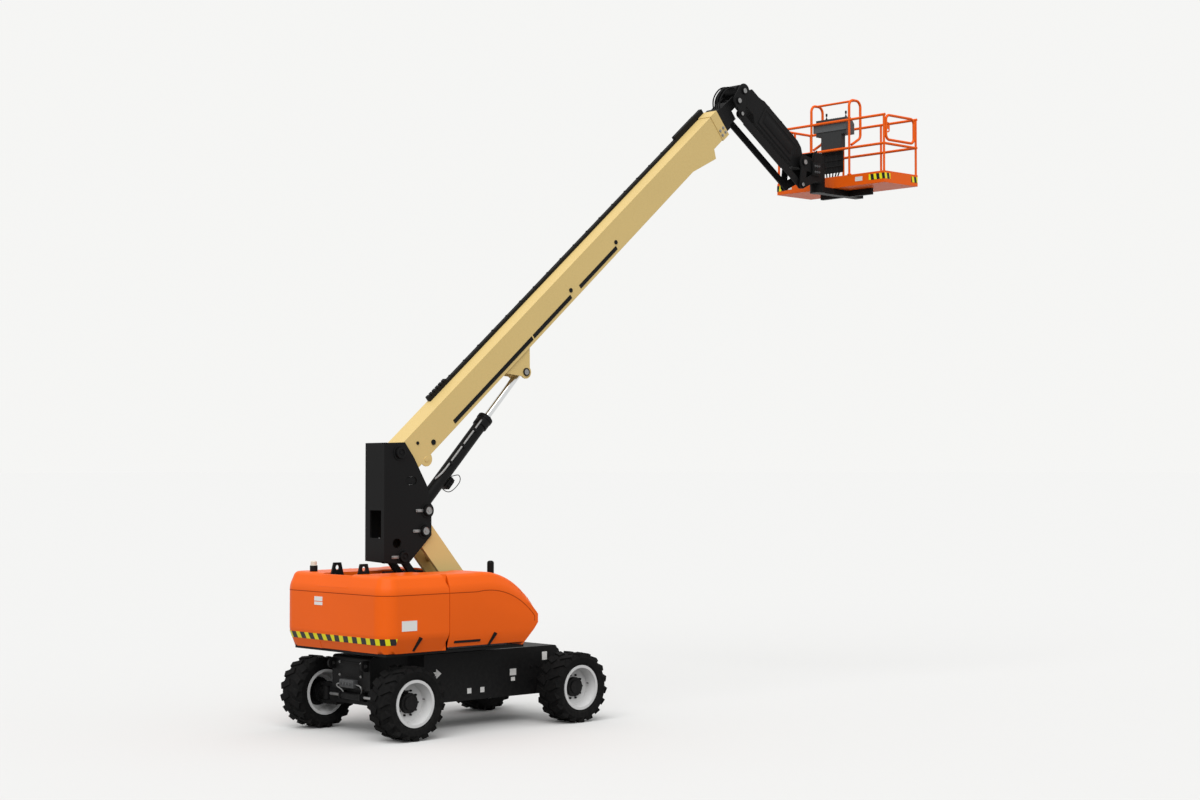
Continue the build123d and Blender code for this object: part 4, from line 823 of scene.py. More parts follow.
strips = []
for side in (-1, 1):
    wall = boom_frame @ at(0, side * (BOOM_SIDE - STRIP_SINK), STRIP_N) @ WALL_OF_SIDE[side]
    for start, stop in STRIPS:
        strip = rub_strip(start, stop)
        settle(strip, wall)
        strips.append(strip)
fit(joined(strips, "strips"), "boom_rub_strips", "black_plastic", "base_boom")
plugs = []
for s, n, radius in PLUGS:
    spots = [boom_frame @ at(s, side * (BOOM_SIDE - PLUG_SINK), n) @ WALL_OF_SIDE[side] for side in (-1, 1)]
    plugs.append(repeated(pin_head(radius, PLUG_HIGH), spots))
fit(joined(plugs, "plugs"), "boom_plugs", "black_plastic", "base_boom")
pads = []
for column in range(2):
    for row in range(2):
        s = PAD_BOLT_AT[0] + PAD_BOLT_STEP[0] * column
        n = PAD_BOLT_AT[1] + PAD_BOLT_STEP[1] * row
        for side in (-1, 1):
            pads.append(boom_frame @ at(s, side * (BOOM_SIDE + COLLAR_STAND), n) @ WALL_OF_SIDE[side])
fit(repeated(bolt_head(PAD_BOLT_ACROSS), pads), "boom_pad_bolts", "zinc", "base_boom")
eye = boom_frame @ Vector(LIFT_EYE)
pin_set("lift_eye_pin_heads", [(eye.x, eye.z)], *EYE_PIN, "base_boom")
print(len(strips), "strips,", len(PLUGS) * 2, "plugs and", len(pads), "bolts on the boom")

# %% [markdown]
# ## Hose carrier
# A drag chain feeds the hoses along the top of the boom. Its tray has a lid with folded ribs, and the
# hoses themselves lie in it. Ribs are one small cube, bevelled and repeated by an Array modifier. The
# carrier's open mouth is a cube whose front face is inset and pushed in.

# %% Ribs and mouth of the hose carrier
RIB_PITCH = 0.36
RIB_SIZE = (0.030, 0.076, 0.006)
CARRIER_TOP = 0.095
CARRIER_Y = 0.125
CARRIER_S = (1.65, 7.70)
RIB_SINK = 0.004
MOUTH_LOW = (8.385, 0.088, 0.045)
MOUTH_HIGH = (8.600, 0.162, 0.140)
MOUTH_RIM = 0.010
MOUTH_DEEP = 0.050

rib_long, rib_wide, rib_high = RIB_SIZE
rib = block((-rib_long / 2, -rib_wide / 2, -RIB_SINK), (rib_long / 2, rib_wide / 2, rib_high))
round_edges(rib, PLAIN_ROUND)
rib_count = int((CARRIER_S[1] - CARRIER_S[0]) / RIB_PITCH) + 1
row_of(rib, rib_count, (RIB_PITCH, 0, 0))
settle(rib, boom_frame @ at(CARRIER_S[0], CARRIER_Y, CARRIER_TOP))
fit(rib, "carrier_ribs", "black_plastic", "base_boom")
mouth = block(MOUTH_LOW, MOUTH_HIGH)
shape(mouth, facing(1, 0, 0), (inset, MOUTH_RIM), (push, (-MOUTH_DEEP, 0, 0)))
round_edges(mouth, PLAIN_ROUND)
settle(mouth, boom_frame)
fit(mouth, "carrier_mouth", "black_plastic", "base_boom")
print(rib_count, "ribs on the hose carrier")

# %% [markdown]
# ## Hoses and pipes
# A pipe or hose is one smooth line with a round section. The line is a NURBS spline led by a few points,
# which bends as evenly as rubber does, and the section is the curve's own bevel, turned into a mesh. A
# steel pipe is fixed and needs nothing more.

# %% Tubes
TUBE_STEPS = 10
TUBE_SIDES = 3
TUBE_MERGE = 0.00005


def tube(name, points, radius):
    """A mesh tube along a smooth spline, and the points that it follows."""
    line = bpy.data.curves.new(name, "CURVE")
    line.dimensions = "3D"
    spline = line.splines.new("NURBS")
    spline.points.add(len(points) - 1)
    for knot, point in zip(spline.points, points):
        knot.co = (*point, 1)
    spline.order_u = 3
    spline.use_endpoint_u = True
    spline.resolution_u = TUBE_STEPS
    piece = bpy.data.objects.new(name, line)
    bpy.context.scene.collection.objects.link(piece)
    route = bpy.data.meshes.new_from_object(piece)
    path = [tuple(vertex.co) for vertex in route.vertices]
    bpy.data.meshes.remove(route)
    line.bevel_depth = radius
    line.bevel_resolution = TUBE_SIDES
    line.use_fill_caps = True
    pick(piece)
    bpy.ops.object.convert(target="MESH")
    piece = bpy.context.object
    open_faces(piece, lambda face: True)
    bpy.ops.mesh.remove_doubles(threshold=TUBE_MERGE)
    bpy.ops.mesh.normals_make_consistent(inside=False)
    bpy.ops.object.mode_set(mode="OBJECT")
    return piece, path


def hose(name, points, radius, body, onto=None):
    """A loose hose that rides on one body; given a second body, it is left in place and rides on neither."""
    piece, path = tube(name, points, radius)
    piece.name = name
    piece.data.name = name
    piece.data.materials.clear()
    piece.data.materials.append(finish["hose_rubber"])
    pick(piece)
    bpy.ops.object.shade_smooth()
    if onto is None:
        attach(piece, body)
    else:
        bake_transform(piece)
    return piece


def along_arm(frame_of_arm, places):
    """Points in the machine's frame from places along, across and off an arm."""
    return [tuple(frame_of_arm @ Vector(place)) for place in places]


print("tubes have", TUBE_STEPS, "steps between points")

# %% [markdown]
# ## Head hoses
# Where the boom ends, the hoses leave their carrier, rise in an open loop over the head and dive into the
# jib. They bend each time the platform is levelled. Here each one runs from the fly boom to the jib
# bracket across the levelling pin and is left in place, hung on neither.

# %% Hoses over the boom head
HEAD_HOSES = (
    # across at the boom, across at the bracket, height of the loop
    (0.060, 0.090, 0.030), (0.020, 0.045, 0.012), (-0.030, 0.000, 0.022), (-0.075, -0.060, 0.0),
)
HEAD_ROUTE = (
    # along the boom, and off its top
    (8.800, -0.030), (8.860, 0.060), (8.990, 0.120), (9.180, 0.135), (9.330, 0.070), (9.400, -0.060),
)
HEAD_HOSE_RADIUS = 0.012

for number, (start_y, end_y, lift) in enumerate(HEAD_HOSES):
    places = []
    for step, (s, n) in enumerate(HEAD_ROUTE):
        share = step / (len(HEAD_ROUTE) - 1)
        rise = lift * math.sin(math.pi * share)
        places.append((s, start_y + (end_y - start_y) * share, n + rise))
    hose(f"head_hose_{number}", along_arm(boom_frame, places), HEAD_HOSE_RADIUS, "fly_boom", "jib_bracket")
print(len(HEAD_HOSES), "hoses over the boom head")

# %% [markdown]
# ## Lift cylinder
# The barrel carries a steel pipe along its top to the gland end, held by clamps. Below it sits a valve block
# with a loose hose that loops from one end of the block to the other. The pipe is a tube, the clamps are
# bevelled cubes, and the block is a cube whose under face is inset and pushed out.

# %% Pipe, clamps and valve block of the lift cylinder
PIPE_RADIUS = 0.015
LOOP_UP = 0.135
PIPE_OFF = (-0.088, 0.090)
PIPE_S = (0.62, 1.72)
CLAMP_S = (0.86, 1.20, 1.52)
LIFT_VALVE = ((0.42, -0.075, -0.165), (0.60, 0.055, -0.085))
PLUG_ACROSS = 0.030
LOOP_RADIUS = 0.0063
LOOP_PLACES = (
    # along the barrel, across it and off its top
    (0.61, -0.035, -0.090), (0.66, -0.035, -0.125), (0.74, -0.035, -0.185), (0.70, -0.030, -0.270),
    (0.57, -0.030, -0.275), (0.44, -0.035, -0.240), (0.380, -0.035, -0.165), (0.375, -0.035, -0.088),
)
y, n = PIPE_OFF
pipe_places = [
    (PIPE_S[0] - 0.10, -0.040, 0.104), (PIPE_S[0] - 0.02, y, n + 0.012), (PIPE_S[0] + 0.10, y, n),
    (0.5 * (PIPE_S[0] + PIPE_S[1]), y, n), (PIPE_S[1] - 0.12, y, n), (PIPE_S[1] - 0.02, y, n),
    (PIPE_S[1] + 0.02, -0.060, 0.070),
]
pipe, _ = tube("lift_pipe", along_arm(lift_frame, pipe_places), PIPE_RADIUS)
fit(pipe, "lift_pipe", "zinc", "lift_barrel")

clamps = []
for s in CLAMP_S:
    clamp = block((s - 0.022, y - 0.024, n - 0.034), (s + 0.022, y + 0.026, n + 0.022))
    round_edges(clamp, BOLD_ROUND)
    settle(clamp, lift_frame)
    clamps.append(clamp)
fit(joined(clamps, "clamps"), "lift_pipe_clamps", "black_plastic", "lift_barrel")

valve = block(*LIFT_VALVE)
shape(valve, facing(0, 0, -1), (inset, 0.018), (push, (0, 0, -0.020)))
round_edges(valve, FULL_ROUND)
plug_spots = [at(0.46 + 0.05 * step, -0.075, -0.125) @ RIGHT_WALL for step in range(3)]
valve = joined([valve, repeated(bolt_head(PLUG_ACROSS), plug_spots)], "valve")
settle(valve, lift_frame @ at(LOOP_UP, 0, 0))
fit(valve, "lift_valve_block", "black_paint", "lift_barrel")
loop_route = along_arm(lift_frame @ at(LOOP_UP, 0, 0), LOOP_PLACES)
hose("lift_hose_loop", loop_route, LOOP_RADIUS, "lift_barrel")
print(len(CLAMP_S), "clamps hold the lift pipe")

# %% [markdown]
# ## Gland
# The gland closes the mouth of the barrel round the rod, and a circle of bolts holds it. It is a cylinder
# whose two ends are inset and bridged through, and the bolts are the same hexagon heads as before.

# %% Gland ring and its bolts
GLAND_END = 1.845
GLAND_RADIUS = 0.119
GLAND_LENGTH = 0.060
ROD_WAY = 0.056
GLAND_BOLTS = 8
GLAND_CIRCLE = 0.088
GLAND_BOLT_ACROSS = 0.024


def ring(outer, inner, height, sides=40):
    """A turned ring: a cylinder whose two end faces are inset and bridged."""
    piece = drum(outer, height, sides)
    open_faces(piece, lambda face: abs(face.normal.z) > 0.9)
    bpy.ops.mesh.inset(thickness=outer - inner)
    bpy.ops.mesh.bridge_edge_loops()
    bpy.ops.object.mode_set(mode="OBJECT")
    return piece


gland = ring(GLAND_RADIUS, ROD_WAY, GLAND_LENGTH)
round_edges(gland, PLAIN_ROUND)
gland_bolts = [
    Matrix.Rotation(math.tau * step / GLAND_BOLTS, 4, "Z") @ at(GLAND_CIRCLE, 0, GLAND_LENGTH)
    for step in range(GLAND_BOLTS)
]
gland = joined([gland, repeated(bolt_head(GLAND_BOLT_ACROSS), gland_bolts)], "gland")
settle(gland, lift_frame @ at(GLAND_END - GLAND_LENGTH, 0, 0) @ Matrix.Rotation(math.radians(90), 4, "Y"))
fit(gland, "lift_gland", "black_paint", "lift_barrel")
print("gland ring", 2 * GLAND_RADIUS, "m across")

# %% [markdown]
# ## Jib
# The jib is a short boom of its own. Its pins have heads on both cheeks, a stiffening plate with a folded
# lip runs along each side, and two steel pipes follow it to the rotator. The plate is a cube whose face is
# inset and pushed out, as a pressed panel would be.

# %% Jib panels, pins and pipes
JIB_FACE = 0.2245
JIB_SIDE = 0.130
JIB_PANEL = ((0.62, 1.62), (-0.150, 0.190))
PANEL_THICK = 0.008
JIB_PIN = (0.058, JIB_FACE, 0.022)
LINK_PIN = (0.044, JIB_FACE, 0.018)
JIB_PIPE_Y = (-0.060, 0.060)
JIB_PIPE_RADIUS = 0.014
JIB_PIPE_ROUTE = (
    # along the jib, and off its top
    (0.30, 0.190), (0.42, 0.262), (0.56, 0.285), (1.00, 0.280), (1.50, 0.280), (1.66, 0.250), (1.72, 0.215),
)
SADDLE_S = (0.72, 1.10, 1.44)
SADDLE_HALF = (0.022, 0.090)
SADDLE_N = (0.258, 0.302)

panels = []
for side in (-1, 1):
    (start, stop), (low, high) = JIB_PANEL
    panel = block((start, low, 0), (stop, high, PANEL_THICK))
    shape(panel, top_face, (inset, 0.035), (push, (0, 0, -0.005)), (inset, 0.055), (push, (0, 0, 0.007)))
    round_edges(panel, FINE_ROUND)
    flip = Matrix.Identity(4) if side < 0 else Matrix.Scale(-1, 4, (0, 1, 0))
    settle(panel, flip)
    if side > 0:
        made_whole(panel)
    settle(panel, jib_frame @ at(0, side * (JIB_SIDE - 0.001), 0) @ WALL_OF_SIDE[side])
    panels.append(panel)
fit(joined(panels, "panels"), "jib_panels", "black_paint", "jib_arm")

jib_run = joint_at["jib_end_level"] - joint_at["jib_lift"]
link_tip = joint_at["jib_link_turn"] + jib_run
pin_set("bracket_pin_heads", [spot_of("head_level"), spot_of("jib_lift")], *JIB_PIN, "jib_bracket")
pin_set("jib_end_pin_heads", [spot_of("jib_end_level")], *JIB_PIN, "jib_end")
pin_set("jib_link_pin_heads", [spot_of("jib_link_turn")], *LINK_PIN, "jib_bracket")
pin_set("jib_link_tip_heads", [(link_tip.x, link_tip.z)], *LINK_PIN, "jib_end")
for number, y in enumerate(JIB_PIPE_Y):
    places = [(s, y, n) for s, n in JIB_PIPE_ROUTE]
    pipe, _ = tube(f"jib_pipe_{number}", along_arm(jib_frame, places), JIB_PIPE_RADIUS)
    fit(pipe, f"jib_pipe_{number}", "black_paint", "jib_arm")
saddles = []
for s in SADDLE_S:
    half_long, half_wide = SADDLE_HALF
    saddle = block((s - half_long, -half_wide, SADDLE_N[0]), (s + half_long, half_wide, SADDLE_N[1]))
    round_edges(saddle, BOLD_ROUND)
    settle(saddle, jib_frame)
    saddles.append(saddle)
fit(joined(saddles, "saddles"), "jib_pipe_saddles", "black_plastic", "jib_arm")
print("jib leans", round(math.degrees(math.asin(jib_run.normalized().z)), 1), "degrees")

# %% [markdown]
# ## Rotator
# The platform turns on a slewing rotator, an upright drum with end caps bolted on all round. A valve
# block with fittings sits on each side of the jib's end, and two hoses loop from it over the plate. They meet
# at one point inside, which is open: no port is modelled there, and the nearest solid is 35 mm away. Bolts
# are the same hexagon heads as before.

# %% Rotator bolts, valves and hoses
ROTATOR_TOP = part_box("rotator_arm")[1][2]
ROTATOR_BOLTS = 10
ROTATOR_CIRCLE = 0.066
ROTATOR_BOLT_ACROSS = 0.022
VALVE_X = (4.10, 4.30)
VALVE_Y = (0.226, 0.256)
VALVE_Z = (8.70, 8.92)
VALVE_RAISE = 0.010
FITTING_AT = (4.15, 0.265, 8.76)
FITTING_STEP = (0.05, 0.10)
FITTING_ACROSS = 0.026
ROTATOR_HOSE_RADIUS = 0.0072
HOSE_REACH = (0.0, 0.045)
rotor = joint_at["platform_rotate"]
cap_spots = [
    at(rotor.x, rotor.y, ROTATOR_TOP) @ Matrix.Rotation(math.tau * step / ROTATOR_BOLTS, 4, "Z")
    @ at(ROTATOR_CIRCLE, 0, -0.0005) for step in range(ROTATOR_BOLTS)
]
fit(repeated(bolt_head(ROTATOR_BOLT_ACROSS), cap_spots), "rotator_bolts", "zinc", "platform")

for side, word in SIDES:
    y_low, y_high = sorted(side * y for y in VALVE_Y)
    valve = block((VALVE_X[0], y_low, VALVE_Z[0]), (VALVE_X[1], y_high, VALVE_Z[1]))
    shape(valve, facing(0, side, 0), (inset, 0.022), (push, (0, side * VALVE_RAISE, 0)))
    round_edges(valve, FULL_ROUND)
    x, y, z = FITTING_AT
    fitting_spots = [
        at(x + FITTING_STEP[0] * column, side * y, z + FITTING_STEP[1] * row) @ WALL_OF_SIDE[side]
        for column in range(3) for row in range(2)
    ]
    fittings = repeated(bolt_head(FITTING_ACROSS), fitting_spots)
    fit(valve, f"rotator_valve_{word}", "black_paint", "jib_end")
    fit(fittings, f"rotator_fittings_{word}", "cast_grey", "jib_end")
    for number, reach in enumerate(HOSE_REACH):
        route = [
            (4.08 + reach, side * 0.222, 8.90), (4.08 + reach, side * 0.246, 8.95),
            (4.09 + reach, side * 0.262, 9.02 + reach / 2), (4.13 + reach, side * 0.262, 9.09 + reach / 2),
            (4.19 + reach, side * 0.23, 9.12 + reach / 2), (4.25 + reach, side * 0.175, 9.105),
            (4.28, side * 0.12, 9.03),
        ]
        hose(f"rotator_hose_{word}_{number}", route, ROTATOR_HOSE_RADIUS, "jib_end")
print(ROTATOR_BOLTS, "bolts on the rotator cap at", round(ROTATOR_TOP, 3), "m")

# %% [markdown]
# ## Tape round the tail
# Marking tape follows the skirt of the tail round both corners. The surest way to lie exactly on a curved
# cover is to be cut from it: a copy of the tail is bisected above, below and in front, its inner walls are
# thrown away, and Solidify lifts what is left by the thickness of the tape.

# %% Tape cut from the tail cover
TAPE_Z = (1.312, 1.400)
TAPE_FRONT_X = -5.510
TAPE_THICK = 0.003
TAIL_OUTSIDE_X = -5.560
TAIL_OUTSIDE_Y = 1.05
TAIL_MIDDLE_X = -5.0
LOOKS_OUT = 0.02


def cut_away(piece, place, outward):
    """Bisects the piece and throws away what lies outward of the plane."""
    pick(piece)
    bpy.ops.object.mode_set(mode="EDIT")
    bpy.ops.mesh.select_all(action="SELECT")
    bpy.ops.mesh.bisect(plane_co=place, plane_no=outward, clear_outer=True)
    bpy.ops.object.mode_set(mode="OBJECT")


def outside_of_tail(face):
    """Takes the outer skin of the tail, and not its inner walls."""
    outward = face.normal.x * (face.center.x - TAIL_MIDDLE_X) + face.normal.y * face.center.y > LOOKS_OUT
    return outward and (face.center.x < TAIL_OUTSIDE_X or abs(face.center.y) > TAIL_OUTSIDE_Y)


def tail_band(name, z_range, front, thick):
    """A thin band that lies on the outside of the tail cover, between two heights."""
    band = merged_copy("counterweight", name)
    cut_away(band, (0, 0, z_range[1]), (0, 0, 1))
    cut_away(band, (0, 0, z_range[0]), (0, 0, -1))
    cut_away(band, (front, 0, 0), (1, 0, 0))
    open_faces(band, lambda face: not outside_of_tail(face))
    bpy.ops.mesh.delete(type="FACE")
    bpy.ops.object.mode_set(mode="OBJECT")
    work(band, "SOLIDIFY", thickness=thick, offset=1.0)
    return band


tape = tail_band("tail_tape", TAPE_Z, TAPE_FRONT_X, TAPE_THICK)
fit(tape, "tail_tape", "tail_tape", "turntable")
print("tape with", len(tape.data.polygons), "faces from", TAPE_Z[0], "to", TAPE_Z[1], "m")

# %% [markdown]
# ## Crease lines
# A thin line of painted shade runs round the covers below the crown, at the crease where the moulding's upper
# half meets its lower half, and drops round the nose of each hood. On the tail it is a narrow band cut like the
# tape. On a hood the flat side is copied and inset twice, and only the ring between the two insets is kept.

# %% Painted shade along the creases of the covers
CREASE_WIDE = 0.010
CREASE_INSET = 0.060
CROWN_FOOT = 2.045
CREASE_TOP = CROWN_FOOT - CREASE_INSET
CREASE_FOOT = 1.53
CREASE_THICK = 0.0012
SIDE_FLAT = 1.1895
SEAM_FRONT = -4.604
SEAM_REAR = -4.616
# The tail's band and each hood's ring take the darker orange of painted shade along the crease.
tail_crease_shade = tail_band("tail_crease_shade", (CREASE_TOP - CREASE_WIDE, CREASE_TOP), SEAM_REAR, CREASE_THICK)
fit(tail_crease_shade, "tail_crease_shade", "painted_crease_shade", "turntable")
for side, word in SIDES:
    line = merged_copy(f"hood_{word}", f"hood_crease_{word}")
    open_faces(line, lambda face: face.center.y * side < SIDE_FLAT)
    bpy.ops.mesh.delete(type="FACE")
    bpy.ops.mesh.select_all(action="SELECT")
    bpy.ops.mesh.dissolve_limited(angle_limit=math.radians(FLAT))
    bpy.ops.mesh.select_all(action="SELECT")
    bpy.ops.mesh.inset(thickness=CREASE_INSET)
    bpy.ops.mesh.select_all(action="INVERT")
    bpy.ops.mesh.delete(type="FACE")
    bpy.ops.mesh.select_all(action="SELECT")
    bpy.ops.mesh.inset(thickness=CREASE_WIDE)
    bpy.ops.mesh.delete(type="FACE")
    bpy.ops.object.mode_set(mode="OBJECT")
    rear_edge = SEAM_FRONT + CREASE_INSET + CREASE_WIDE
    open_faces(line, lambda face: face.center.z < CREASE_FOOT or face.center.x < rear_edge)
    bpy.ops.mesh.delete(type="FACE")
    bpy.ops.object.mode_set(mode="OBJECT")
    for corner in line.data.vertices:
        if corner.co.x < rear_edge + CREASE_WIDE:
            corner.co.x = SEAM_FRONT
    work(line, "SOLIDIFY", thickness=CREASE_THICK, offset=1.0)
    fit(line, f"hood_crease_{word}", "painted_crease_shade", f"hood_{word}")
print("joint line at", CREASE_TOP, "m round the covers")

# %% [markdown]
# ## Tail panels
# The tail casting is open behind the boom, and two painted panels close it: one continues the skirt below
# and one continues the crown above. Each is a cube whose far edge is moved to follow the slope of the
# cover beside it.

# %% Panels that close the tail
CHANNEL_HALF = 0.350
PANEL_IN = 0.030
SKIRT_Z = (1.190, 1.410)
SKIRT_IN = 0.080
CROWN_Z = (2.055, 2.228)
CROWN_IN = 0.071
TAIL_X = -5.740
PANEL_BACK = 0.004
PANEL_RIM = 0.012
PANEL_ROUND = 0.008
TAPE_ROOM = 0.002


def tail_panel(z_low, z_high, lean_low, lean_high, name):
    """An orange panel across the tail, with its low or high edge set in."""
    back = TAIL_X + PANEL_BACK
    piece = block((back, -CHANNEL_HALF, z_low), (back + PANEL_IN, CHANNEL_HALF, z_high))
    for lean, sign in ((lean_low, -1), (lean_high, 1)):
        shape(piece, facing(0, 0, sign), (shift, (lean, 0, 0)))
    shape(piece, lambda face: face.normal.x < -0.5, (inset, PANEL_RIM))
    round_edges(piece, PANEL_ROUND)
    return fit(piece, name, "orange_paint", "turntable")


tail_panel(SKIRT_Z[0], SKIRT_Z[1] - TAPE_ROOM, SKIRT_IN, 0.0, "tail_skirt_panel")
tail_panel(CROWN_Z[0], CROWN_Z[1], 0.0, CROWN_IN, "tail_crown_panel")
print("panel", 2 * CHANNEL_HALF, "m wide closes the tail")

# %% [markdown]
# ## Cover fittings
# Blank plates, rubber latches and a sunk grip sit on the covers. A plate is a thin cube with an inset rim,
# a latch is a cube drawn narrower towards its foot, and each stands on the wall that it belongs to. The
# beacon's lens stands on a black foot, which is the lower faces of the same piece in another finish.

# %% Plates, latches and grips on the covers
COVER_SIDE_Y = 1.190
SKIRT_TOP = SKIRT_Z[1]
SKIRT_TUCK = SKIRT_IN / (SKIRT_Z[1] - SKIRT_Z[0])
PLATE_RIM = 0.07
PLATE_SINK = 0.25
PLATE_ROUND = 0.3


def plate(width, height, thick=0.003):
    """A blank plate with a raised rim that lies on the XY plane."""
    piece = block((-width / 2, -height / 2, 0), (width / 2, height / 2, thick))
    shape(piece, top_face, (inset, min(width, height) * PLATE_RIM), (push, (0, 0, -thick * PLATE_SINK)))
    round_edges(piece, thick * PLATE_ROUND, 1)
    return piece


def plates(name, rows, look, body):
    """Blank plates from rows of width, height and the frame that they stand in."""
    made = []
    for width, height, stand in rows:
        piece = plate(width, height)
        settle(piece, stand)
        made.append(piece)
    return fit(joined(made, name), name, look, body)


def on_side(x, y, z):
    """A frame on a side wall at a place, facing out."""
    return at(x, y, z) @ WALL_OF_SIDE[-1 if y < 0 else 1]


def on_rear(x, y, z):
    """A frame on a rear wall, facing back, with its own X across the machine and Y up."""
    return at(x, y, z) @ REAR_WALL @ Matrix.Rotation(math.radians(-90), 4, "Z")


SIDE_PLATE = (0.26, 0.14)
SIDE_PLATE_AT = (-5.31, 1.565)
TAIL_PLATES = (
    # width, height and place across and up
    (0.19, 0.062, 0.32, 1.885), (0.19, 0.045, 0.32, 1.820),
)
x, z = SIDE_PLATE_AT
side_rows = [(*SIDE_PLATE, on_side(x, side * COVER_SIDE_Y, z)) for side in (-1, 1)]
tail_rows = [(width, height, on_rear(TAIL_X, y, z)) for width, height, y, z in TAIL_PLATES]
plates("tail_side_plates", side_rows, "plate_white", "turntable")
plates("tail_plates", tail_rows, "plate_white", "turntable")

LATCHES = (
    # place along and up, lean of the foot and what it is fixed to
    (-5.109, 1.402, -0.097, "turntable"), (-3.778, 1.397, -0.101, "hood"),
)
LATCH_WIDE = 0.052
LATCH_LONG = 0.215
LATCH_THICK = 0.022
LATCH_FOOT = (0.62, 1, 0.7)
LATCH_SINK = 0.006


def latch():
    """A rubber draw latch that hangs from the origin along -Y and narrows to its foot."""
    piece = block((-LATCH_WIDE / 2, -LATCH_LONG, 0), (LATCH_WIDE / 2, 0, LATCH_THICK))
    shape(piece, facing(0, -1, 0), (stretch, LATCH_FOOT))
    shape(piece, top_face, (inset, 0.011), (push, (0, 0, -LATCH_SINK)))
    round_edges(piece, FINE_ROUND)
    return piece


for x, z, lean, body in LATCHES:
    for side, word in SIDES:
        piece = latch()
        stand = at(x, side * (COVER_SIDE_Y - LATCH_SINK), z) @ WALL_OF_SIDE[side]
        up = 1 if side < 0 else -1
        swing = Matrix.Rotation(math.atan2(lean, LATCH_LONG) * up, 4, "Z")
        hang = Matrix.Rotation(0 if side < 0 else math.pi, 4, "Z")
        tuck = Matrix.Rotation(math.atan(SKIRT_TUCK), 4, "X")
        settle(piece, stand @ swing @ hang @ tuck)
        rider = body if body == "turntable" else f"hood_{word}"
        fit(piece, f"latch_{body}_{word}", "black_plastic", rider)

GRIP_X = (-4.500, -4.030)
GRIP_Z = 1.300
GRIP_HALF = 0.018
GRIP_THICK = 0.007
GRIP_STAND = 0.001
BEACON_FOOT = 0.085
for side, word in SIDES:
    y = COVER_SIDE_Y - SKIRT_TUCK * (SKIRT_TOP - GRIP_Z)
    grip = block((GRIP_X[0], -GRIP_HALF, 0), (GRIP_X[1], GRIP_HALF, GRIP_THICK))
    shape(grip, top_face, (inset, 0.008), (push, (0, 0, -0.004)))
    round_edges(grip, HAIR_ROUND)
    tuck = Matrix.Rotation(math.atan(SKIRT_TUCK) * -side, 4, "X")
    settle(grip, at(0, side * (y + GRIP_STAND), GRIP_Z) @ WALL_OF_SIDE[side] @ tuck)
    fit(grip, f"hood_grip_{word}", "black_plastic", f"hood_{word}")
beacon_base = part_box("beacon")[0].z + BEACON_FOOT
repaint(soft["beacon"], "black_plastic", lambda face: face.center.z < beacon_base)
print("plates, latches and grips on the covers")

# %% [markdown]
# ## Chassis fittings
# Small blank plates mark the lashing and lifting points of the chassis, and a plain white arrow shows
# which way is forward. Bolts hold the axles. The arrow is two thin cubes, and the front face of one is
# scaled down to make its point.

# %% Chassis plates, arrow and axle bolts
CHASSIS_SIDE = 0.6195
CHASSIS_PLATES = (
    # place along and up, width and height
    (-3.789, 0.532, 0.075, 0.075), (-3.547, 0.532, 0.075, 0.075), (-2.968, 0.745, 0.120, 0.095),
    (-2.968, 0.645, 0.075, 0.055), (-2.357, 0.943, 0.095, 0.120),
)
chassis_rows = [
    (width, height, on_side(x, side * CHASSIS_SIDE, z))
    for x, z, width, height in CHASSIS_PLATES for side in (-1, 1)
]
plates("chassis_plates", chassis_rows, "plate_white", "chassis")

ARROW_X = (-4.495, -4.301)
ARROW_Z = 0.812
ARROW_HEAD = 0.090
ARROW_LAP = 0.005
ARROW_HALF = (0.028, 0.070)
ARROW_THICK = 0.003
ARROW_POINT = 0.03
FRAME_BOLT_X = (-2.62, -2.50, -2.38, -2.26)
FRAME_BOLT_Z = (0.62, 0.80)
FRAME_BOLT_ACROSS = 0.030
shaft_half, head_half = ARROW_HALF
neck = ARROW_X[1] - ARROW_HEAD
arrows = []
for side in (-1, 1):
    shaft = block((ARROW_X[0], -shaft_half, 0), (neck + ARROW_LAP, shaft_half, ARROW_THICK))
    head = block((neck, -head_half, 0), (ARROW_X[1], head_half, ARROW_THICK))
    shape(head, facing(1, 0, 0), (stretch, (1, ARROW_POINT, 1)))
    arrow = joined([shaft, head], "arrow")
    settle(arrow, at(0, side * CHASSIS_SIDE, ARROW_Z) @ WALL_OF_SIDE[side])
    arrows.append(arrow)
fit(joined(arrows, "arrows"), "chassis_arrows", "plate_white", "chassis")
frame_bolts = [
    on_side(x, side * CHASSIS_SIDE, z) for x in FRAME_BOLT_X for z in FRAME_BOLT_Z for side in (-1, 1)
]
bolts = repeated(bolt_head(FRAME_BOLT_ACROSS), frame_bolts)
fit(bolts, "chassis_bolts", "black_paint", "chassis")
print(len(CHASSIS_PLATES) * 2, "blank plates and two arrows on the chassis")

# %% [markdown]
# ## Steering cylinder and rear pipes
# Behind the steered axle lies a double-ended steering cylinder on two brackets. A valve block on the end of
# the frame feeds it through short steel pipes, and a bolted lid closes the frame. The barrel is a drum with
# stepped ends, and each pipe is a tube along a bent route.

# %% Cylinder, valve block and pipes at the rear axle
axle_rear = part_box("steer_axle")[0][0]
STEER_X = axle_rear - 0.062
STEER_Z = joint_at["spin_steer_left"].z + 0.018
STEER_BARREL = (0.048, 0.52)
STEER_ROD = (0.020, 1.04)
STEP_IN = 0.012
STEP_OUT = 0.016
BRACKET_Y = (-0.235, 0.235)
BRACKET_HALF = (0.014, 0.070)
BRACKET_REACH = 0.060
FRAME_END_X = -5.410
LID_HALF = 0.26
LID_Z = (0.800, 1.010)
LID_THICK = 0.012
LID_BOLT_IN = 0.015
LID_BOLT_ACROSS = 0.022
STEER_VALVE_OUT = 0.085
STEER_VALVE_HALF = 0.16
STEER_VALVE_Z = (0.655, 0.765)
STEER_VALVE_RAISE = 0.012
PORT_Y = (-0.105, -0.035, 0.035, 0.105)
PORT_Z = 0.71
PORT_ACROSS = 0.034
ROOT = 0.002
STEER_PIPE_RADIUS = 0.010
PIPE_X = FRAME_END_X - 0.040
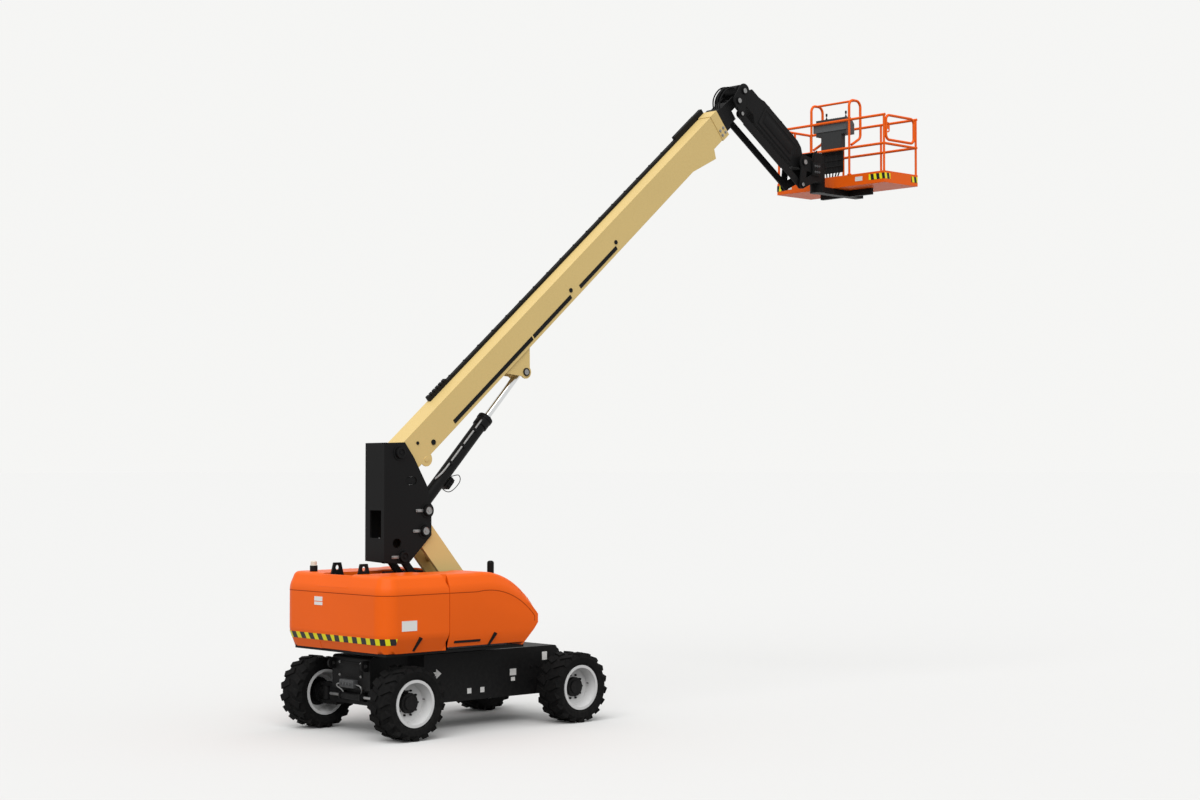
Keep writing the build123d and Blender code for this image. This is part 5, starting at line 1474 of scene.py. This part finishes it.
barrel = drum(*STEER_BARREL, 32)
for sign in (1, -1):
    shape(barrel, facing(0, 0, sign), (inset, STEP_IN), (push, (0, 0, sign * STEP_OUT)))
round_edges(barrel, PLAIN_ROUND)
settle(barrel, at(STEER_X, STEER_BARREL[1] / 2, STEER_Z) @ RIGHT_WALL)
fit(barrel, "steer_barrel", "black_paint", "chassis")
rod = drum(*STEER_ROD, 24)
round_edges(rod, BOLD_ROUND)
settle(rod, at(STEER_X, STEER_ROD[1] / 2, STEER_Z) @ RIGHT_WALL)
fit(rod, "steer_rods", "zinc", "chassis")
brackets = []
for y in BRACKET_Y:
    half_wide, half_high = BRACKET_HALF
    bracket = block(
        (STEER_X - BRACKET_REACH, y - half_wide, STEER_Z - half_high),
        (axle_rear + 2 * ROOT, y + half_wide, STEER_Z + half_high),
    )
    shape(bracket, facing(-1, 0, 0), (stretch, (1, 1, 0.6)))
    round_edges(bracket, PLAIN_ROUND)
    brackets.append(bracket)
fit(joined(brackets, "brackets"), "steer_brackets", "black_paint", "chassis")
lid = block((FRAME_END_X - LID_THICK, -LID_HALF, LID_Z[0]), (FRAME_END_X + ROOT, LID_HALF, LID_Z[1]))
shape(lid, facing(-1, 0, 0), (inset, 0.030), (push, (-0.006, 0, 0)))
round_edges(lid, FINE_ROUND)
fit(lid, "frame_lid", "black_paint", "chassis")
lid_bolts = [
    on_rear(FRAME_END_X - LID_THICK, side * (LID_HALF - LID_BOLT_IN), z)
    for side in (-1, 1) for z in (LID_Z[0] + LID_BOLT_IN, LID_Z[1] - LID_BOLT_IN)
]
fit(repeated(bolt_head(LID_BOLT_ACROSS), lid_bolts), "frame_lid_bolts", "zinc", "chassis")
valve = block(
    (FRAME_END_X - STEER_VALVE_OUT, -STEER_VALVE_HALF, STEER_VALVE_Z[0]),
    (FRAME_END_X + ROOT, STEER_VALVE_HALF, STEER_VALVE_Z[1]),
)
shape(valve, facing(-1, 0, 0), (inset, 0.018), (push, (-STEER_VALVE_RAISE, 0, 0)))
round_edges(valve, FULL_ROUND)
port_x = FRAME_END_X - STEER_VALVE_OUT - STEER_VALVE_RAISE
ports = repeated(bolt_head(PORT_ACROSS), [on_rear(port_x, y, PORT_Z) for y in PORT_Y])
fit(joined([valve, ports], "valve"), "steer_valve", "cast_grey", "chassis")
for side, word in SIDES:
    route = [
        (PIPE_X, side * 0.155, 0.700), (PIPE_X, side * 0.250, 0.700), (PIPE_X, side * 0.300, 0.660),
        (STEER_X, side * 0.225, 0.600), (STEER_X, side * 0.205, STEER_Z + 0.040),
    ]
    pipe, _ = tube("steer_pipe_" + word, route, STEER_PIPE_RADIUS)
    fit(pipe, "steer_pipe_" + word, "zinc", "chassis")
print("steering cylinder", STEER_BARREL[1], "m long behind the axle")

# %% [markdown]
# ## Wheels
# Each wheel has a valve stem, a moulded rib round the tyre wall, and black nuts and a black hub inside a pale
# rim. The rib is a cylinder with inset ends that are bridged through, made alike for all four wheels. The
# nuts are part of the rim's solid, so its faces near the axle only get another finish.

# %% Tyre ribs, valve stems and black nuts
WHEELS = {
    "wheel_drive_left": ("spin_drive_left", 1), "wheel_drive_right": ("spin_drive_right", -1),
    "wheel_steer_left": ("spin_steer_left", 1), "wheel_steer_right": ("spin_steer_right", -1),
}
WALL_Y = 1.2370
NUT_REACH = 0.192
RIB_RING = (0.402, 0.388, 0.010)
STEM_SIZE = (0.008, 0.030)
STEM_TIP = 0.014
STEM_AT = (0.225, 1.105, 0.04)
for body, (joint, side) in WHEELS.items():
    axle = joint_at[joint]
    rib = ring(*RIB_RING, 56)
    round_edges(rib, FINE_ROUND)
    settle(rib, at(axle.x, side * WALL_Y, axle.z) @ WALL_OF_SIDE[side])
    fit(rib, body + "_wall_rib", "rubber", body)
    stem = drum(*STEM_SIZE, 14)
    shape(stem, top_face, (inset, 0.003), (push, (0, 0, STEM_TIP)))
    x, y, z = STEM_AT
    settle(stem, at(axle.x + x, side * y, axle.z + z) @ WALL_OF_SIDE[side])
    fit(stem, body + "_valve", "black_plastic", body)
    rim = soft[body.replace("wheel", "rim")]
    places = [math.hypot(corner.co.x - axle.x, corner.co.z - axle.z) for corner in rim.data.vertices]
    repaint(rim, "black_paint", lambda face: max(places[corner] for corner in face.vertices) < NUT_REACH)
print(len(WHEELS), "wheels dressed")

# %% [markdown]
# ## Platform fittings
# Tape marks the corners of the toe board, two blank plates sit on its back, and the floor is tread plate.
# The tread is one low six-sided stud, turned and repeated by two Array modifiers, so it costs few faces.

# %% Tape, plates and tread on the platform
floor_low = Vector(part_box("platform_floor")[0])
PLATFORM_TAPE_Z = (8.622, 8.722)
TAPE_RUNS = (
    # from corner and to corner of each length of tape, on the plan
    ((4.8272, -1.222), (4.8310, -0.880)), ((4.8272, -1.2228), (4.990, -1.2190)),
    ((5.560, -1.2228), (5.735, -1.2190)), ((4.8272, 1.060), (4.8310, 1.222)),
    ((4.8272, 1.2190), (4.990, 1.2228)), ((5.560, 1.2190), (5.735, 1.2228)),
)
lengths = []
for (x0, y0), (x1, y1) in TAPE_RUNS:
    strip = block((x0, y0, PLATFORM_TAPE_Z[0]), (x1, y1, PLATFORM_TAPE_Z[1]))
    round_edges(strip, 0.001, 1)
    lengths.append(strip)
fit(joined(lengths, "tape"), "platform_tape", "platform_tape", "platform")
TOE_BOARD_X = 4.830
PLATFORM_PLATES = (
    # width, height and place across and up
    (0.16, 0.075, -0.66, 8.668), (0.10, 0.070, 0.925, 8.668),
)
board_rows = [(width, height, on_rear(TOE_BOARD_X, y, z)) for width, height, y, z in PLATFORM_PLATES]
plates("platform_plates", board_rows, "plate_white", "platform")

TREAD_TOP = floor_low.z + 0.040
TREAD_STEP = 0.02
STUD_SIZE = (0.020, 0.004)
STUD_TOP = 0.55
STUD_FLAT = 0.42
STUD_FROM = (0.075, -1.152)
STUD_SINK = 0.0005
STUD_PITCH = (0.058, 0.064)
STUD_COUNT = (14, 37)
repaint(
    soft["platform_floor"], "tread_steel",
    lambda face: top_face(face) and face.center.z < TREAD_TOP + TREAD_STEP,
)
stud = drum(*STUD_SIZE, 6)
shape(stud, top_face, (stretch, (STUD_TOP, STUD_TOP, 1)))
settle(stud, Matrix.Rotation(math.radians(45), 4, "Z") @ Matrix.Scale(STUD_FLAT, 4, (0, 1, 0)))
row_of(stud, STUD_COUNT[0], (STUD_PITCH[0], 0, 0))
row_of(stud, STUD_COUNT[1], (0, STUD_PITCH[1], 0))
settle(stud, at(floor_low.x + STUD_FROM[0], STUD_FROM[1], TREAD_TOP - STUD_SINK))
fit(stud, "floor_tread", "tread_steel", "platform")
print(STUD_COUNT[0] * STUD_COUNT[1], "studs on the floor")

# %% [markdown]
# ## Control console
# The console is a grey moulding with a sloping lid over a darker box. On its face stand two joysticks with
# rubber boots, a row of switches and a red stop button. A joystick is a cone of steps: inset and push,
# several times over. Below the console hang a bank of valves and the cables that run to the floor.

# %% Console lid, joysticks, switches and cables
console_low, console_high = (Vector(corner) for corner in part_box("console"))
LID_LINE = console_low.z + 0.400
repaint(soft["console"], "dark_plastic", lambda face: face.center.z < LID_LINE - 0.085)
lid = block((console_low.x - 0.012, console_low.y - 0.014, LID_LINE - 0.090),
            (console_low.x + 0.030, console_high.y + 0.054, LID_LINE + 0.060))
shape(lid, facing(-1, 0, 0), (inset, 0.018), (push, (0.006, 0, 0)))
round_edges(lid, BOLD_ROUND, 3)
fit(lid, "console_lid", "grey_plastic", "platform")


BOOT_STEPS = ((0.007, 0.014), (0.006, 0.012), (0.008, 0.016), (0.006, 0.050))
STICK_Y = (-0.22, 0.22)
SWITCH_Y = (-0.10, -0.05, 0.0, 0.05, 0.10)
STOP_Y = 0.29


def joystick():
    """A lever that stands on its boot."""
    stick = drum(0.034, 0.012, 20)
    open_faces(stick, top_face)
    for narrow, rise in BOOT_STEPS:
        inset(narrow)
        push((0, 0, rise))
    bpy.ops.object.mode_set(mode="OBJECT")
    knob = drum(0.017, 0.052, 18)
    round_edges(knob, 0.007, 3)
    settle(knob, at(0, 0, 0.082))
    return joined([stick, knob], "stick")


FACE_X = console_low.x + 0.140
FACE_Z = console_high.z
stick_spots = [at(FACE_X, y, FACE_Z - 0.002) for y in STICK_Y]
fit(repeated(joystick(), stick_spots), "console_joysticks", "black_plastic", "platform")
switch = drum(0.012, 0.010, 14)
shape(switch, top_face, (inset, 0.005), (push, (0.004, 0, 0.022)))
switch_spots = [at(FACE_X - 0.02, y, FACE_Z - 0.001) for y in SWITCH_Y]
fit(repeated(switch, switch_spots), "console_switches", "zinc", "platform")
stop = drum(0.022, 0.012, 24)
shape(stop, top_face, (inset, 0.010), (push, (0, 0, 0.012)), (stretch, (2.2, 2.2, 1)))
round_edges(stop, FINE_ROUND)
settle(stop, at(FACE_X - 0.03, STOP_Y, FACE_Z - 0.001))
fit(stop, "console_stop", "stop_red", "platform")
BANK_X = (console_low.x + 0.012, console_low.x + 0.066)
BANK_Y = (-0.225, 0.225)
BANK_Z = (8.840, console_low.z + 0.002)
bank = block((BANK_X[0], BANK_Y[0], BANK_Z[0]), (BANK_X[1], BANK_Y[1], BANK_Z[1]))
open_faces(bank, facing(-1, 0, 0))
bpy.ops.mesh.subdivide(number_cuts=3)
bpy.ops.object.mode_set(mode="OBJECT")
open_faces(bank, facing(-1, 0, 0))
bpy.ops.mesh.inset(thickness=0.012, use_individual=True)
bpy.ops.transform.translate(value=(0.016, 0, 0))
bpy.ops.object.mode_set(mode="OBJECT")
round_edges(bank, PLAIN_ROUND)
fit(bank, "console_valve_bank", "black_plastic", "platform")
CABLE_Y = (-0.20, -0.11, -0.01, 0.09, 0.19)
CABLE_X = 4.963
CABLE_RADIUS = 0.0125
for number, y in enumerate(CABLE_Y):
    foot = 0.62 * y + 0.02
    cable_route = [
        (CABLE_X, y, console_low.z), (CABLE_X, y, 9.100), (CABLE_X + 0.02, y + 0.035, 8.950),
        (CABLE_X, foot + 0.030, 8.800), (4.925, foot, 8.700), (4.920, foot, TREAD_TOP + 0.008),
    ]
    hose(f"console_cable_{number}", cable_route, CABLE_RADIUS, "platform")
print("console", round(console_high.y - console_low.y, 2), "m wide, with", len(CABLE_Y), "cables below it")

# %% [markdown]
# ## Rails
# The gate hangs between two posts, with a bent handle on it and a latch plate inside the handle. A foot
# switch lies on the floor beside the console. Small collars show where the posts stand on the toe board.

# %% Gate handle, collars and foot switch
gate_low, gate_high = (Vector(corner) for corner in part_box("gate"))
HANDLE_Y = -1.197
HANDLE_ROUTE = (
    # along from the gate's post, and height
    (0.020, 9.430), (0.090, 9.430), (0.110, 9.450), (0.110, 9.570), (0.090, 9.590), (0.020, 9.590),
)
HANDLE_RADIUS = 0.011
LATCH_RUN = (0.030, 0.118)
LATCH_HALF = 0.008
LATCH_Z = (9.480, 9.540)
handle_route = [(gate_low.x + run, HANDLE_Y, z) for run, z in HANDLE_ROUTE]
handle, _ = tube("gate_handle", handle_route, HANDLE_RADIUS)
fit(handle, "gate_handle", "orange_paint", "gate")
latch_plate = block(
    (gate_low.x + LATCH_RUN[0], HANDLE_Y - LATCH_HALF, LATCH_Z[0]),
    (gate_low.x + LATCH_RUN[1], HANDLE_Y + LATCH_HALF, LATCH_Z[1]),
)
shape(latch_plate, lambda face: abs(face.normal.y) > 0.9, (inset, 0.012))
round_edges(latch_plate, FINE_ROUND)
fit(latch_plate, "gate_latch_plate", "orange_paint", "gate")
rail_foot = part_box("rail_back")[0][2]
POST_X = 4.853
POST_Y = (-0.43, 0.43)
POST_COLLAR = (0.036, 0.0195, 0.022)
collar_spots = [at(POST_X, y, rail_foot - 0.001) for y in POST_Y]
collar = ring(*POST_COLLAR, 28)
round_edges(collar, FULL_ROUND)
fit(repeated(collar, collar_spots), "post_collars", "orange_paint", "platform")
PEDAL_X = (5.02, 5.22)
PEDAL_Y = (0.50, 0.68)
PEDAL_HIGH = 0.070
PEDAL_TOE = 0.35
pedal = block((PEDAL_X[0], PEDAL_Y[0], TREAD_TOP), (PEDAL_X[1], PEDAL_Y[1], TREAD_TOP + PEDAL_HIGH))
open_faces(pedal, facing(1, 0, 0))
toe = (PEDAL_X[1], sum(PEDAL_Y) / 2, TREAD_TOP)
bpy.ops.transform.resize(value=(1, 1, PEDAL_TOE), center_override=toe)
bpy.ops.object.mode_set(mode="OBJECT")
shape(pedal, lambda face: face.normal.z > 0.5, (inset, 0.020), (push, (0, 0, 0.010)))
round_edges(pedal, BOLD_ROUND)
fit(pedal, "foot_switch", "black_plastic", "platform")
print("gate from", round(gate_low.x, 2), "to", round(gate_high.x, 2), "m")

# %% [markdown]
# ## Under the hoods
# With a hood up, the engine and the tank show. Cooling fins and an air filter dress the engine, and a filler
# cap and two straps dress the tank. Fins are one thin cube in an Array modifier.

# %% Engine fins, air filter and tank straps
engine_low, engine_high = (Vector(corner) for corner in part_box("engine"))
FIN_PITCH = 0.045
FIN_COUNT = 14
FIN_Y = (0.06, 0.30)
FIN_SIZE = (0.014, 0.035)
FIN_FROM = 0.30
CLEANER_SIZE = (0.080, 0.36)
CLEANER_AT = (0.14, -0.62, 0.078)
CAP_SIZE = (0.055, 0.040)
CAP_AT = (0.22, 0.78)
STRAP_X = (0.36, 0.80)
STRAP_HALF = 0.025
fin_thick, fin_high = FIN_SIZE
fin = block((0, engine_low.y + FIN_Y[0], 0), (fin_thick, engine_low.y + FIN_Y[1], fin_high))
round_edges(fin, HAIR_ROUND, 1)
row_of(fin, FIN_COUNT, (FIN_PITCH, 0, 0))
settle(fin, at(engine_low.x + FIN_FROM, 0, engine_high.z - 0.001))
fit(fin, "engine_fins", "cast_grey", "turntable")
cleaner = drum(*CLEANER_SIZE, 32)
shape(cleaner, top_face, (inset, 0.016), (push, (0, 0, 0.014)), (inset, 0.040), (push, (0, 0, 0.010)))
round_edges(cleaner, BOLD_ROUND)
x, y, z = CLEANER_AT
settle(cleaner, at(engine_low.x + x, y, engine_high.z + z) @ RIGHT_WALL)
fit(cleaner, "air_cleaner", "black_plastic", "turntable")
tank_low, tank_high = (Vector(corner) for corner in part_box("tank"))
cap = pin_head(*CAP_SIZE)
settle(cap, at(tank_low.x + CAP_AT[0], CAP_AT[1], tank_high.z - 0.002))
fit(cap, "tank_cap", "black_plastic", "turntable")
straps = []
for run in STRAP_X:
    x = tank_low.x + run
    strap = block(
        (x - STRAP_HALF, tank_low.y - 0.004, tank_low.z + 0.02),
        (x + STRAP_HALF, tank_high.y + 0.006, tank_high.z + 0.006),
    )
    round_edges(strap, PLAIN_ROUND)
    straps.append(strap)
fit(joined(straps, "straps"), "tank_straps", "zinc", "turntable")
print(FIN_COUNT, "fins on the engine")
